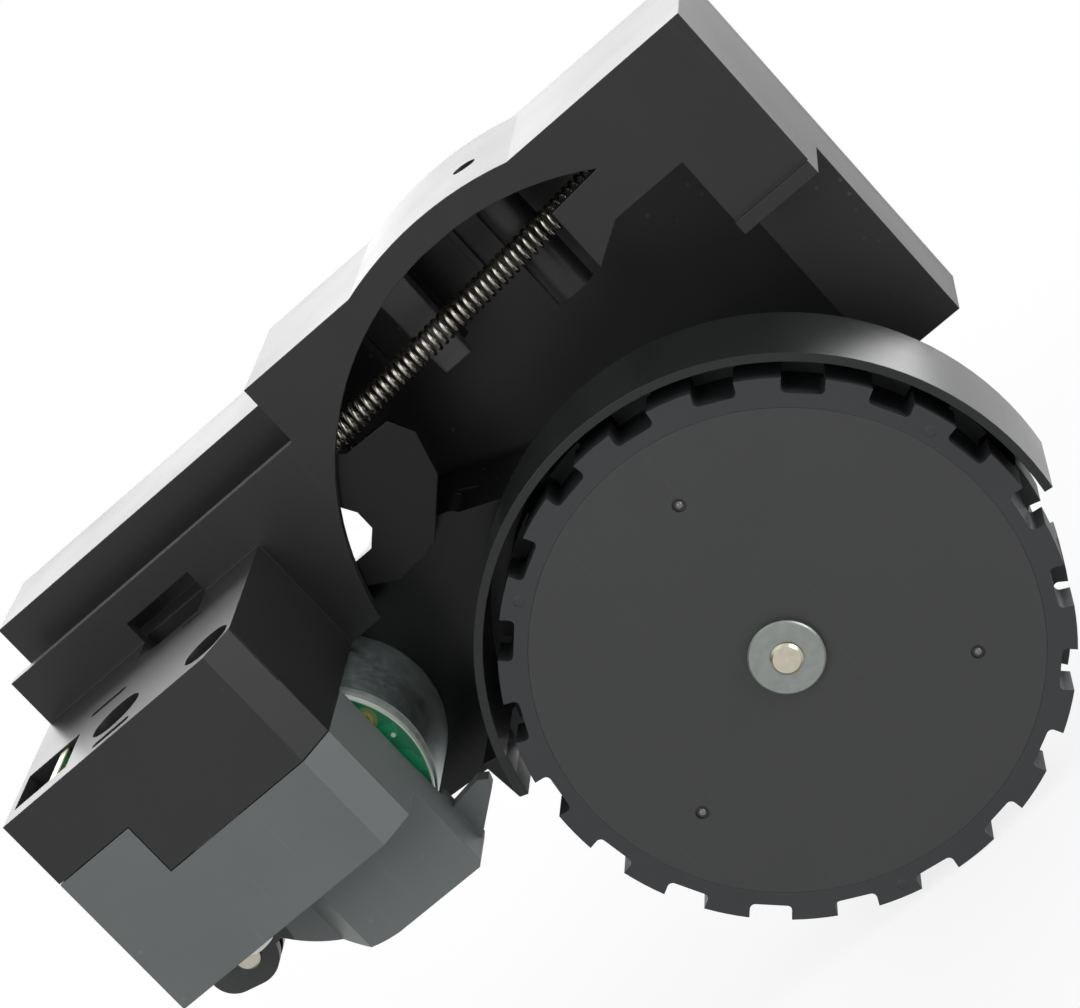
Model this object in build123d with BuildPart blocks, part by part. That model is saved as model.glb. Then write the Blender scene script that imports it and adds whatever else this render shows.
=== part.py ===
# Drive wheel module of a floor-cleaning robot.
# Millimetres. +Z is up as installed, X runs along the module towards the wheel, and the wheel's
# outer face looks towards -Y. The origin is the locating bore in the top of the connector block.
import os
from math import acos, atan2, cos, degrees, hypot, pi, radians, sin, sqrt, tan

from build123d import *

os.makedirs("parts", exist_ok=True)

# Wheel
tread_radius = 36.0
tread_depth = 2.0
tread_width = 16.0
rubber_thickness = 2.6
lug_count = 20
lug_share = 0.52
lug_row_width = 6.6
disc_lip = 0.8
disc_thickness = 2.0
dimple_ring_radius = 23.7
dimple_radius = 0.9
dimple_depth = 0.4
dimple_angles = [83.0, -39.8, -157.3]
axle_radius = 2.1
axle_nose = 1.7
axle_chamfer = 0.35
washer_radius = 4.9
washer_thickness = 1.0
washer_chamfer = 0.2
drum_setback = 0.8
wheel_rib_width = 1.4
rib_count = 6
hub_clearance = 0.3
lug_phase = 10.0
notch_corner = 0.13
wheel_front = 9.3
axle_x = 50.6
axle_z = -50.3

# Suspension arm and its pivot
pivot_x = -29.7
pivot_z = -36.9
pin_radius = 1.75
barrel_radius = 4.2
fender_gap = 1.9
fender_wall = 1.15
fender_front = 9.8
fender_depth = 16.5
fender_web = 1.6
fender_start_angle = -7.0
fender_end_angle = 160.5
hook_angle = 9.0
hook_reach = 2.2
hook_setback = 1.0
hook_depth = 9.0
hook_lean = 0.5
hook_taper = 0.3
case_front = 36.0
case_depth = 16.6
case_wall = 1.6
case_cover_thickness = 1.5
case_side_wall = 1.2
neck_rib_width = 1.2
neck_rib_count = 6
gusset_low = 9.0
gusset_high = 17.0
gusset_overlap = 0.5
case_boss = (22.6, -16.4)
case_boss_radius = 2.7
case_shoulder = (12.5, -15.5)
case_shoulder_radius = 4.5
ear_angles = [35, -35, -100]
ear_length = 4.0
ear_reach = 1.1
web_screw_turn = 4.0
web_screw_reach = 7.6
web_inner_radius = 1.0
bore_play = 0.6
gear_one_seat_radius = 2.6
gear_one_front_reach = 9.0
motor_room = 12.0
chamber_step = 0.3
lug_x = 15.2
lug_z = 2.8
lug_radius = 2.6
lever_foot = [(15.2, -12.6), (18.4, -13.6)]
lever_foot_radius = 2.2
lever_gap = 0.4
lever_steps = [(-2.3, 1.2), (-0.6, -5.8), (1.0, -8.4), (1.0, -11.2), (-1.0, -13.2), (-4.6, -13.2),
               (-5.3, -16.4), (-1.2, -18.8), (5.8, -18.0), (12.4, -11.4), (14.1, -5.3), (12.3, -1.8),
               (5.3, -1.6), (2.3, 1.2)]

# Motor
motor_x = -7.45
motor_z = -27.9
motor_radius = 13.9
flux_ring_wall = 0.9
motor_front = 15.3
motor_length = 27.9
cup_wall = 2.0
board_radius = 13.9
board_thickness = 1.2
shaft_radius = 1.0
motor_boss_radius = 3.0
motor_screw_reach = 8.5
motor_screw_radius = 0.9
motor_screw_cap_radius = 1.8
motor_screw_cap_depth = 1.0
motor_screw_length = 3.0
motor_play = 0.05
ring_setback = 2.0
can_rim = 0.8
cap_depth = 2.2
board_gap = 0.2
board_hole_radius = 2.2
board_pad = (3.2, -23.3)
board_pad_radius = 0.55
magnet_radius = 4.0
magnet_thickness = 2.0
magnet_gap = 0.6
shaft_nose = 0.4

# Gear train: teeth and module of each mesh, from the motor to the wheel
first_module = 0.6
first_pinion_teeth = 12
first_gear_teeth = 48
second_module = 0.8
second_pinion_teeth = 12
second_gear_teeth = 36
third_module = 1.0
third_pinion_teeth = 13
third_gear_teeth = 39
pressure_angle = 20.0
first_direction = -9.0
tip_share = 0.9
root_share = 1.2
backlash_share = 0.12

# Housing
wall = 2.0
block_left = -33.8
block_right = 4.2
block_front = -5.2
block_chamfer = 3.8
block_depth = 34.5
block_skirt = 17.8
block_step_x = -21.9
block_step_skirt = 10.1
ledge_height = 7.4
deck_height = 12.4
deck_front = 39.3
body_left = 17.1
body_right = 90.9
lintel = 1.9
bump_height = 1.9
bump_start = 35.4
bump_end = 62.4
housing_rear = 58.3
window_z = -25.8
window_radius = 40.4
window_margin = 5.1
tongue_width = 5.5
tongue_drop = 3.4
tongue_tip = 2.6
tongue_lip = 0.6
recess_reach = 18.9
recess_width = 11.1
recess_drop = 14.5
hood_low = -10.0
well_front = 42.3
well_low = -38.4
rear_wall_low = -34.0
rear_wall_left = 9.6
channel_end = -4.0
channel_top = 1.0
end_wall_top = 3.0
leg_spread = 6.0
leg_top = -12.0
roof_post = (55.4, 41.5)
roof_post_radius = 3.0
roof_bore_radius = 1.7
roof_post_low = 3.6
support_post = (36.6, 49.0)
support_post_radius = 2.6
rear_post_radius = 3.0
rear_post_length = 10.0
rear_inset = 4.6
plug_slot = (-28.2, 4.0)
plug_slot_length = 9.0
plug_slot_width = 11.0
top_slots = [(-19.6, 13.6), (-15.7, -3.0)]
top_slot_length = 6.2
top_slot_width = 1.5
rear_slot = (-6.0, 20.0)
rear_slot_length = 3.6
rear_slot_width = 1.6
lead_slot_left = -16.4
lead_slot_width = 11.0
lead_slot_front = 22.0
lead_slot_sill = 1.0
lead_slot_top = 3.4
rear_rib_sites = [26.4, 34.2, 45.0]
rear_rib_width = 1.0
rear_rib_height = 0.9

# Lower cover
cover_low = -32.6
tier_front = 6.1
tier_low = -45.7
tier_rear = 15.3
boss_front = 11.3
cover_gap = 0.15
cover_wall_rear = 12.6
cover_wall_turn = 0.8
boss_left = -37.7
boss_turn = -18.5
tier_turn = -14.5
tier_corner = 0.7
rim_left = -24.6
rim_start = -10.3
rim_outer = [(-18.5, -43.2), (-24.6, -37.6)]
rim_inner = [(-23.2, -36.4), (-17.6, -41.4)]
lobe_offset = (-2.6, -0.1)
lobe_radius = 3.5
catch_points = [(9.0, -38.4), (10.2, -39.2), (9.8, -40.4)]
catch_top = -39.2
catch_low = -45.1
catch_depth = 2.6

# Fixings and fits
locating_radius = 3.5
screw_bore_radius = 1.9
screw_head_radius = 3.9
screw_head_depth = 2.0
screw_x = -16.1
screw_y = 3.3
screw_boss_depth = 9.0
running_gap = 0.05
seat_gap = 0.02
side_gap = 0.4
screw_play = 0.2
screw_spare = 0.5
boss_wall = 1.2
overcut = 1.0

# Extension spring
spring_y = 36.0
spring_radius = 1.95
spring_pitch = 1.12
spring_wire = 0.3
spring_lead = 3.4
anchor_x = 76.2
anchor_drop = 9.0
peg_radius = 1.05

# Pieces inside
swing = 16.0
swing_gap = 0.8
relief_reach = 2.4
hub_radius = 6.0
axle_boss_radius = 8.0
bush_radius = 4.0
bush_length = 5.3
rear_bush_reach = 2.2
neck_radius = 20.0
gear_shaft_radius = 1.0
output_reach = 22.4
gear_gap = 0.4
shaft_seat = 4.0
shaft_rest = 0.4
gear_window_radius = 2.8
gear_window_reach = 12.0
connector_thickness = 1.2
connector_x = -27.4
board_ends = (-1.3, 9.3)
connector_low = -14.0
connector_drop = 1.2
board_rib = 1.6
board_slack = 0.4
strip_count = 8
strip_share = 0.7
strip_length = 5.0
strip_thickness = 0.12
strip_middle = -4.4
plunger_x = 3.7
plunger_travel = 1.2
plunger_radius = 0.9
plunger_rest = 0.3
plunger_round = 0.4
plunger_play = 0.1
plunger_setback = 1.2
plunger_hole_depth = 2.6
switch_lead = 4.0
switch_low = 1.4
switch_corner = 0.5
peg_insets = (1.75, 3.2)
tab_count = 3
tab_pitch = 4.4
tab_width = 0.6
tab_depth = 1.6
tab_height = 1.8
switch_length = 12.8
switch_height = 6.5
switch_depth = 5.8
clip_thickness = 0.6
clip_rim = 1.6
pin_setback = 0.5
pin_groove = 0.45
pin_tail = 1.2
pin_chamfer = 0.3
cover_screw_radius = 1.1
screw_cap_radius = 2.1
screw_cap_depth = 1.2
screw_cap_chamfer = 0.4
cross_length = 2.4
cross_width = 0.6
cross_share = 0.6
screw_reach = 8.0


def facing(y):
    """Plane that looks towards -Y at the depth y, with X to the right and Z up."""
    return Plane.XZ.offset(-y)


def finish(part, label):
    """Names a piece and writes it."""
    part.label = label
    export_step(part, f"parts/{label}.step")


def along(start, angle, distance):
    """Point at a distance from a start point in the X and Z plane, the angle in degrees."""
    return (start[0] + distance * cos(radians(angle)), start[1] + distance * sin(radians(angle)))


def bearing(start, end):
    """Direction from one point to another, in degrees."""
    return degrees(atan2(end[1] - start[1], end[0] - start[0]))


def meeting(start, start_reach, end, end_reach):
    """The upper of the two points that lie at given distances from two centres."""
    span = hypot(end[0] - start[0], end[1] - start[1])
    run = (start_reach**2 - end_reach**2 + span**2) / (2 * span)
    rise = sqrt(start_reach**2 - run**2)
    foot = along(start, bearing(start, end), run)
    return along(foot, bearing(start, end) + 90, rise)


def meshed(phase, start, end, teeth, next_teeth):
    """Angle of the first tooth of a gear so that it meshes with the one before it."""
    line = bearing(start, end)
    return line + 180 - (phase - line) * teeth / next_teeth - 180 / next_teeth


def raised(point, angle):
    """Where a point of the suspension arm lies once the arm has swung up by an angle."""
    reach = hypot(point[0] - pivot_x, point[1] - pivot_z)
    return along((pivot_x, pivot_z), bearing((pivot_x, pivot_z), point) + angle, reach)


def gear_points(centre, teeth, module, phase):
    """Outline of a spur gear with involute flanks of four points each."""
    pitch_radius = teeth * module / 2
    base_radius = pitch_radius * cos(radians(pressure_angle))
    root_radius = pitch_radius - root_share * module
    tip_radius = pitch_radius + tip_share * module
    half_tooth = pi / (2 * teeth) - backlash_share * module / (2 * pitch_radius)

    def involute(radius):
        angle = acos(min(1.0, base_radius / radius))
        return tan(angle) - angle

    def flank_angle(radius):
        return degrees(half_tooth + involute(pitch_radius) - involute(radius))

    radii = [root_radius, (root_radius + pitch_radius) / 2, pitch_radius, tip_radius]
    points = []
    for tooth in range(teeth):
        middle = phase + tooth * 360 / teeth
        points += [along(centre, middle - flank_angle(r), r) for r in radii]
        points += [along(centre, middle + flank_angle(r), r) for r in reversed(radii)]
    return points


def circles(*rounds):
    """Adds full circles, each given as centre and radius, to the sketch that is open."""
    for centre, radius in rounds:
        with Locations(centre):
            Circle(radius)


def crosses(sites):
    """Adds a cross recess at each site to the sketch that is open."""
    with Locations(*sites):
        Rectangle(cross_length, cross_width)
        Rectangle(cross_width, cross_length)


def bridge(*rounds):
    """Adds the outline of a belt round some circles to the sketch that is open."""
    middle = (sum(r[0][0] for r in rounds) / len(rounds), sum(r[0][1] for r in rounds) / len(rounds))
    ordered = sorted(rounds, key=lambda r: bearing(middle, r[0]) % 360)
    following = ordered[1:] + ordered[:1]
    leans = []
    for (start, start_radius), (end, end_radius) in zip(ordered, following):
        span = hypot(end[0] - start[0], end[1] - start[1])
        leans.append(bearing(start, end) - degrees(acos((start_radius - end_radius) / span)))
    with BuildLine(mode=Mode.PRIVATE) as outline:
        for (start, start_radius), (end, end_radius), lean, next_lean in zip(
                ordered, following, leans, leans[1:] + leans[:1]):
            half_wrap = (next_lean - lean) % 360 / 2
            Line(along(start, lean, start_radius), along(end, lean, end_radius))
            ThreePointArc(along(end, lean, end_radius), along(end, lean + half_wrap, end_radius),
                          along(end, next_lean, end_radius))
    make_face(outline.edges())


# Centres and depths that several pieces share
pivot = (pivot_x, pivot_z)
motor = (motor_x, motor_z)
axle = (axle_x, axle_z)
tread_root_radius = tread_radius - tread_depth
tread_inner_radius = tread_root_radius - rubber_thickness
disc_radius = tread_inner_radius + disc_lip
fender_inner_radius = tread_radius + fender_gap
first_reach = first_module * (first_pinion_teeth + first_gear_teeth) / 2
second_reach = second_module * (second_pinion_teeth + second_gear_teeth) / 2
third_reach = third_module * (third_pinion_teeth + third_gear_teeth) / 2
gear_one = along(motor, first_direction, first_reach)
gear_two = meeting(gear_one, second_reach, axle, third_reach)
first_gear_tip = first_module * (first_gear_teeth / 2 + 1)
second_gear_tip = second_module * (second_gear_teeth / 2 + 1)
motor_rear = motor_front + motor_length
case_rear = case_front + case_depth
cup_radius = motor_radius + cup_wall
wall_front = block_front + block_depth
wall_rear = wall_front + wall
third_plane = case_front + case_wall + side_gap
third_width = 5.2
second_plane = motor_rear + case_wall + side_gap
second_width = 3.4
first_plane = second_plane + second_width + side_gap
first_width = case_rear - side_gap - first_plane
window_x = block_right + window_margin + sqrt(window_radius**2 - (window_z + block_skirt) ** 2)
recess_left = window_x + recess_reach
recess_right = recess_left + recess_width
tongue_left = recess_left - tongue_width
body_top = window_z + window_radius + lintel
recess_top = body_top - recess_drop
tongue_low = recess_top - tongue_drop
anchor_z = body_top - anchor_drop
lug = (lug_x, lug_z)
anchor = (anchor_x, anchor_z)
cover_screw_sites = [(-7.9, 1.8), (-22.0, -0.7)]
housing_back = housing_rear - wall
rear_sites = [(body_right - rear_inset, body_top - rear_inset),
              (body_left + rear_inset, body_top - rear_inset),
              (block_left + rear_inset, deck_height - rear_inset),
              (body_right - rear_inset, well_low + rear_inset)]
relief_front = motor_front - relief_reach
board_middle = (board_ends[0] + board_ends[1]) / 2
board_span = board_ends[1] - board_ends[0]
switch_left = plunger_x - switch_lead
switch_peg_sites = [switch_left + peg_insets[0], switch_left + switch_length - peg_insets[1]]


def motor_sweep():
    """Adds the shape that the motor sweeps, with a gap round it, to the sketch that is open."""
    reach = motor_radius + swing_gap
    bridge(*[(raised(motor, swing * step / 2), reach) for step in range(3)])


# Housing: one black moulding with the connector block, the arch over the wheel and the deck
with BuildPart() as housing:
    # Front wall with the window that the raised wheel and its fender pass behind
    with BuildSketch(facing(wall_front)):
        with BuildLine():
            Polyline((block_left, -wall), (block_left, ledge_height), (body_left, ledge_height),
                     (body_left, body_top), (bump_start, body_top))
            bump_middle = (bump_start + bump_end) / 2
            ThreePointArc((bump_start, body_top), (bump_middle, body_top + bump_height),
                          (bump_end, body_top))
            tip_x = recess_left + tongue_tip
            tip_z = window_z + sqrt(window_radius**2 - (tip_x - window_x) ** 2)
            Polyline((bump_end, body_top), (body_right, body_top), (body_right, hood_low),
                     (recess_right, hood_low), (recess_right, recess_top),
                     (recess_left, recess_top), (tongue_left, tongue_low), (tongue_left, tip_z - tongue_lip),
                     (tip_x, tip_z))
            foot_z = -block_skirt
            foot_x = window_x - sqrt(window_radius**2 - (foot_z - window_z) ** 2)
            ThreePointArc((tip_x, tip_z), (window_x, window_z + window_radius), (foot_x, foot_z))
            Polyline((foot_x, foot_z), (block_right - wall, foot_z), (block_right - wall, -wall),
                     (block_left, -wall))
        make_face()
    extrude(amount=-wall)
    # Connector block: a box that is open below and behind
    with BuildSketch(Plane.XY):
        with BuildLine():
            Polyline((block_left, wall_rear), (block_left, block_front),
                     (block_right - block_chamfer, block_front),
                     (block_right, block_front + block_chamfer), (block_right, wall_rear), close=True)
        make_face()
    extrude(amount=-block_skirt)
    with BuildSketch(Plane.XY.offset(-wall)):
        with BuildLine():
            inner_cut = block_chamfer - wall * tan(radians(22.5))
            Polyline((block_left + wall, wall_rear), (block_left + wall, block_front + wall),
                     (block_right - wall - inner_cut, block_front + wall),
                     (block_right - wall, block_front + wall + inner_cut),
                     (block_right - wall, wall_rear), close=True)
        make_face()
    extrude(amount=-block_skirt, mode=Mode.SUBTRACT)
    with BuildSketch(Plane.XY.offset(-block_step_skirt)):
        with Locations(((block_left + block_step_x) / 2, (block_front + wall_rear) / 2)):
            Rectangle(block_step_x - block_left, wall_rear - block_front)
    extrude(amount=-block_skirt, mode=Mode.SUBTRACT)
    # Floor of the channel that the spring lever swings in, left of its sweep
    with BuildSketch(Plane.XY):
        with Locations(((block_left + channel_end) / 2, (wall_rear + deck_front) / 2)):
            Rectangle(channel_end - block_left, deck_front - wall_rear)
    extrude(amount=-wall)
    # Deck behind the channel
    with BuildSketch(facing(deck_front)):
        with BuildLine():
            Polyline((block_left, -wall), (block_left, deck_height), (body_left + wall, deck_height),
                     (body_left + wall, deck_height - 3 * wall), (body_left, channel_top),
                     (channel_end, channel_top), (channel_end, -wall), close=True)
        make_face()
    extrude(amount=-wall)
    with BuildSketch(Plane.XY.offset(deck_height)):
        with Locations(((block_left + body_left + wall) / 2, (deck_front + housing_back) / 2)):
            Rectangle(body_left + wall - block_left, housing_back - deck_front)
    extrude(amount=-wall)
    # Left end wall
    with BuildSketch(Plane.YZ.offset(block_left)):
        with BuildLine():
            Polyline((wall_front, -block_step_skirt), (housing_back, -block_step_skirt),
                     (housing_back, deck_height), (deck_front, deck_height), (deck_front, end_wall_top),
                     (wall_front, end_wall_top), close=True)
        make_face()
    extrude(amount=wall)
    # Roof over the wheel side, with the bump that clears the raised fender
    with BuildSketch(facing(wall_front)):
        with BuildLine():
            Line((body_left, body_top), (bump_start, body_top))
            ThreePointArc((bump_start, body_top), (bump_middle, body_top + bump_height),
                          (bump_end, body_top))
            Polyline((bump_end, body_top), (body_right, body_top), (body_right, body_top - wall),
                     (body_left, body_top - wall), (body_left, body_top))
        make_face()
    extrude(amount=wall_front - housing_back)
    # Step from the deck to the roof
    with BuildSketch(facing(deck_front)):
        with Locations((body_left + wall / 2, (deck_height + body_top) / 2 - wall)):
            Rectangle(wall, body_top - deck_height + 2 * wall)
    extrude(amount=deck_front - housing_back)
    # Right wall, hood floor, recess side and the wall behind the wheel
    with BuildSketch(Plane.YZ.offset(body_right)):
        with BuildLine():
            Polyline((wall_front, hood_low), (wall_front, body_top), (housing_back, body_top),
                     (housing_back, well_low), (well_front, well_low), (well_front, hood_low), close=True)
        make_face()
    extrude(amount=-wall)
    with BuildSketch(Plane.XY.offset(hood_low)):
        with Locations(((recess_right + body_right) / 2, (wall_front + well_front) / 2)):
            Rectangle(body_right - recess_right, well_front - wall_front + wall)
    extrude(amount=wall)
    with BuildSketch(Plane.YZ.offset(recess_right)):
        with Locations(((wall_front + well_front) / 2, (hood_low + body_top) / 2)):
            Rectangle(well_front - wall_front, body_top - hood_low)
    extrude(amount=wall)
    with BuildSketch(facing(well_front)):
        with Locations(((recess_right + body_right) / 2, (well_low + body_top) / 2)):
            Rectangle(body_right - recess_right, body_top - well_low)
    extrude(amount=-wall)
    # Posts that the rear cover is screwed to
    with BuildSketch(facing(housing_back)):
        circles(*[(site, rear_post_radius) for site in rear_sites])
    extrude(amount=rear_post_length)
    with BuildSketch(facing(housing_back)):
        circles(*[(site, cover_screw_radius + seat_gap) for site in rear_sites])
    extrude(amount=screw_reach + screw_spare, mode=Mode.SUBTRACT)
    # Screw posts under the roof and bosses under the block's top
    with BuildSketch(Plane.XY.offset(body_top - wall)):
        circles((roof_post, roof_post_radius))
    extrude(amount=-(body_top - wall) - roof_post_low)
    with BuildSketch(Plane.XY.offset(body_top - wall)):
        circles((support_post, support_post_radius))
    extrude(amount=-(body_top - wall))
    with BuildSketch(Plane.XY):
        circles(((screw_x, screw_y), screw_head_radius + boss_wall))
        circles(((0, 0), locating_radius + boss_wall))
    extrude(amount=-screw_boss_depth)
    with BuildSketch(Plane.XY.offset(-wall)):
        for site in cover_screw_sites:
            circles((site, cover_screw_radius + boss_wall - 0.1))
    extrude(amount=cover_low + 2 * wall + seat_gap)
    with BuildSketch(Plane.XY.offset(cover_low)):
        for site in cover_screw_sites:
            circles((site, cover_screw_radius + seat_gap))
    extrude(amount=screw_reach + wall + screw_spare, mode=Mode.SUBTRACT)
    # Ribs that hold the connector board by its two ends, and the shelf that it stands on
    rib_end = connector_x + connector_thickness + board_slack
    rib_middle = (block_left + wall + rib_end) / 2
    with BuildSketch(Plane.XY.offset(-wall)):
        with Locations((rib_middle, board_ends[1] + board_rib / 2),
                       (rib_middle, board_ends[0] - board_rib / 2)):
            Rectangle(rib_end - block_left - wall, board_rib)
    extrude(amount=connector_low - board_rib + wall)
    with BuildSketch(Plane.XY.offset(connector_low)):
        with Locations((rib_middle, board_middle)):
            Rectangle(rib_end - block_left - wall, board_span + 2 * board_rib)
    extrude(amount=-board_rib)
    # Anchor peg of the spring, carried by the front wall
    with BuildSketch(facing(wall_rear)):
        circles(((anchor_x, anchor_z), peg_radius))
    extrude(amount=-(spring_y + spring_radius - wall_rear))
    # Openings in the block's top
    with Locations((0, 0, 0)):
        Hole(locating_radius, depth=screw_boss_depth)
    with Locations((screw_x, screw_y, 0)):
        CounterBoreHole(screw_bore_radius, screw_head_radius, screw_head_depth, depth=screw_boss_depth)
    with BuildSketch(Plane.XY):
        with Locations(plug_slot):
            Rectangle(plug_slot_length, plug_slot_width)
    extrude(amount=-wall, mode=Mode.SUBTRACT)
    with BuildSketch(Plane.XY):
        with Locations(*top_slots):
            SlotOverall(top_slot_length, top_slot_width)
        with Locations(rear_slot):
            SlotOverall(rear_slot_length, rear_slot_width)
    extrude(amount=-wall, mode=Mode.SUBTRACT)
    with BuildSketch(Plane.YZ.offset(lead_slot_left)):
        with BuildLine():
            Polyline((lead_slot_front, -wall - overcut), (lead_slot_front, lead_slot_sill),
                     (wall_front - overcut, lead_slot_top), (wall_rear + overcut, lead_slot_top),
                     (wall_rear + overcut, -wall - overcut), close=True)
        make_face()
    extrude(amount=lead_slot_width, mode=Mode.SUBTRACT)
    # Clearance over the motor as the arm swings up
    with BuildSketch(facing(relief_front)):
        motor_sweep()
    extrude(amount=relief_front - wall_rear, mode=Mode.SUBTRACT)
    # Hole through the roof, its bump and the post under it
    with BuildSketch(Plane.XY.offset(body_top + bump_height)):
        circles((roof_post, roof_bore_radius))
    extrude(amount=-body_top - bump_height - roof_post_low, mode=Mode.SUBTRACT)
    # Pegs behind the deck wall that the drop switch sits on
    with BuildSketch(facing(deck_front + wall)):
        for peg_x in switch_peg_sites:
            circles(((peg_x, switch_low + switch_height / 2), peg_radius))
    extrude(amount=-switch_depth)
finish(housing.part, "housing")

# Rear cover: flat black moulding screwed to the housing, its left leg carrying the end of the pivot pin
with BuildPart() as rear_cover:
    with BuildSketch(facing(housing_rear)):
        with BuildLine():
            Polyline((block_left, deck_height), (body_left, deck_height), (body_left, body_top),
                     (body_right, body_top), (body_right, well_low),
                     (recess_right, well_low), (recess_right, rear_wall_low), (rear_wall_left, rear_wall_low),
                     (rear_wall_left, -wall), (channel_end, -wall), (pivot_x + leg_spread, leg_top),
                     (pivot_x + barrel_radius, pivot_z), (pivot_x - barrel_radius, pivot_z),
                     (block_left, leg_top), close=True)
        make_face()
        circles((pivot, barrel_radius))
    extrude(amount=wall - seat_gap)
    # Ribs on its inner face
    with BuildSketch(facing(housing_rear - wall / 2)):
        for rib_x in rear_rib_sites:
            with Locations((rib_x, (body_top - wall) / 2)):
                Rectangle(rear_rib_width, body_top - 2 * wall)
    extrude(amount=wall / 2 + rear_rib_height)
    with BuildSketch(facing(housing_rear)):
        circles((pivot, pin_radius + seat_gap))
        circles(*[(site, cover_screw_radius + screw_play) for site in rear_sites])
    extrude(amount=wall, mode=Mode.SUBTRACT)
finish(rear_cover.part, "rear_cover")

with BuildPart() as rear_screws:
    with BuildSketch(facing(housing_rear)):
        circles(*[(site, cover_screw_radius) for site in rear_sites])
    extrude(amount=wall + screw_reach)
    with BuildSketch(facing(housing_rear)):
        circles(*[(site, screw_cap_radius) for site in rear_sites])
    extrude(amount=-screw_cap_depth)
    chamfer(rear_screws.faces().group_by(Axis.Y)[-1].edges(), screw_cap_chamfer)
    with BuildSketch(facing(housing_rear + screw_cap_depth)):
        crosses(rear_sites)
    extrude(amount=screw_cap_depth * cross_share, mode=Mode.SUBTRACT)
finish(rear_screws.part, "rear_screws")

# Lower cover: grey moulding that closes the block from below and carries the pivot pin's front end
lobe = (pivot_x + lobe_offset[0], pivot_z + lobe_offset[1])
with BuildPart() as lower_cover:
    # Stepped front sheet of the motor cup
    with BuildSketch(Plane.XY.offset(cover_low + wall)):
        with BuildLine():
            Polyline((boss_left, boss_front), (boss_turn, boss_front), (tier_turn, tier_front),
                     (block_right, tier_front), (block_right, tier_front + wall),
                     (tier_turn + cover_wall_turn, tier_front + wall),
                     (boss_turn + cover_wall_turn, boss_front + wall),
                     (boss_left, boss_front + wall), close=True)
        make_face()
    extrude(amount=tier_low - cover_low - wall - overcut)
    with BuildSketch(facing(tier_front)):
        with BuildLine():
            Polyline((block_right, cover_low + wall), (block_right, tier_low + tier_corner),
                     (block_right - tier_corner, tier_low), (rim_start, tier_low))
            ThreePointArc((rim_start, tier_low), *rim_outer)
            Polyline(rim_outer[-1], (rim_left, cover_low + wall), (block_right, cover_low + wall))
        make_face()
        bridge((pivot, barrel_radius), (lobe, lobe_radius))
        with Locations(((block_left + rim_left) / 2, (cover_low + pivot_z) / 2)):
            Rectangle(rim_left - block_left, cover_low + wall - pivot_z)
    extrude(amount=tier_front - tier_rear, mode=Mode.INTERSECT)
    # Rim of the motor cup
    with BuildSketch(facing(tier_rear)):
        with BuildLine():
            Polyline((block_right, cover_low), (block_right, tier_low + tier_corner),
                     (block_right - tier_corner, tier_low), (rim_start, tier_low))
            ThreePointArc((rim_start, tier_low), *rim_outer)
            inner_low = tier_low + wall
            Line(rim_outer[-1], rim_inner[0])
            ThreePointArc(*rim_inner, (rim_start, inner_low))
            Polyline((rim_start, inner_low), (block_right - wall, inner_low),
                     (block_right - wall, cover_low), (block_right, cover_low))
        make_face()
    extrude(amount=tier_rear - tier_front)
    with BuildSketch(Plane.XY.offset(cover_low)):
        with BuildLine():
            Polyline((boss_left, boss_front), (boss_turn, boss_front), (tier_turn, tier_front),
                     (tier_turn, tier_front - overcut), (boss_left, tier_front - overcut), close=True)
        make_face()
    extrude(amount=tier_low - cover_low - overcut, mode=Mode.SUBTRACT)
    # Box that carries on the block's walls
    with BuildSketch(Plane.XY.offset(cover_low)):
        with BuildLine():
            Polyline((block_left, tier_rear), (block_left, block_front),
                     (block_right - block_chamfer, block_front),
                     (block_right, block_front + block_chamfer), (block_right, cover_wall_rear),
                     (block_right - wall, cover_wall_rear), (block_right - wall, tier_front + wall),
                     (block_left + wall, tier_front + wall), (block_left + wall, tier_rear), close=True)
        make_face()
    extrude(amount=-block_step_skirt - cover_gap - cover_low)
    with BuildSketch(Plane.XY.offset(cover_low + wall)):
        with BuildLine():
            Polyline((block_left + wall, tier_rear + overcut), (block_left + wall, block_front + wall),
                     (block_right - wall - inner_cut, block_front + wall),
                     (block_right - wall, block_front + wall + inner_cut),
                     (block_right - wall, tier_rear + overcut), close=True)
        make_face()
    extrude(amount=-cover_low, mode=Mode.SUBTRACT)
    with BuildSketch(Plane.XY.offset(-block_skirt - cover_gap)):
        with Locations(((block_step_x - cover_gap + block_right) / 2 + overcut,
                        (block_front + tier_rear) / 2)):
            Rectangle(block_right - block_step_x + cover_gap + 2 * overcut, 2 * (tier_rear - block_front))
    extrude(amount=block_skirt, mode=Mode.SUBTRACT)
    # Catch on the right side
    with BuildSketch(facing(cover_wall_rear)):
        with BuildLine():
            Polyline((block_right - overcut / 2, catch_top), *catch_points,
                     (block_right - overcut / 2, catch_low), close=True)
        make_face()
    extrude(amount=-catch_depth)
    # Pivot pin bore and the holes for the two cover screws
    with BuildSketch(facing(0)):
        circles((pivot, pin_radius + seat_gap))
    extrude(amount=-2 * tier_rear, mode=Mode.SUBTRACT)
    with BuildSketch(Plane.XY.offset(cover_low)):
        for site in cover_screw_sites:
            circles((site, cover_screw_radius + screw_play))
    extrude(amount=wall, mode=Mode.SUBTRACT)
    with BuildSketch(facing(relief_front)):
        motor_sweep()
    extrude(amount=relief_front - tier_rear, mode=Mode.SUBTRACT)
finish(lower_cover.part, "lower_cover")


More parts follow.
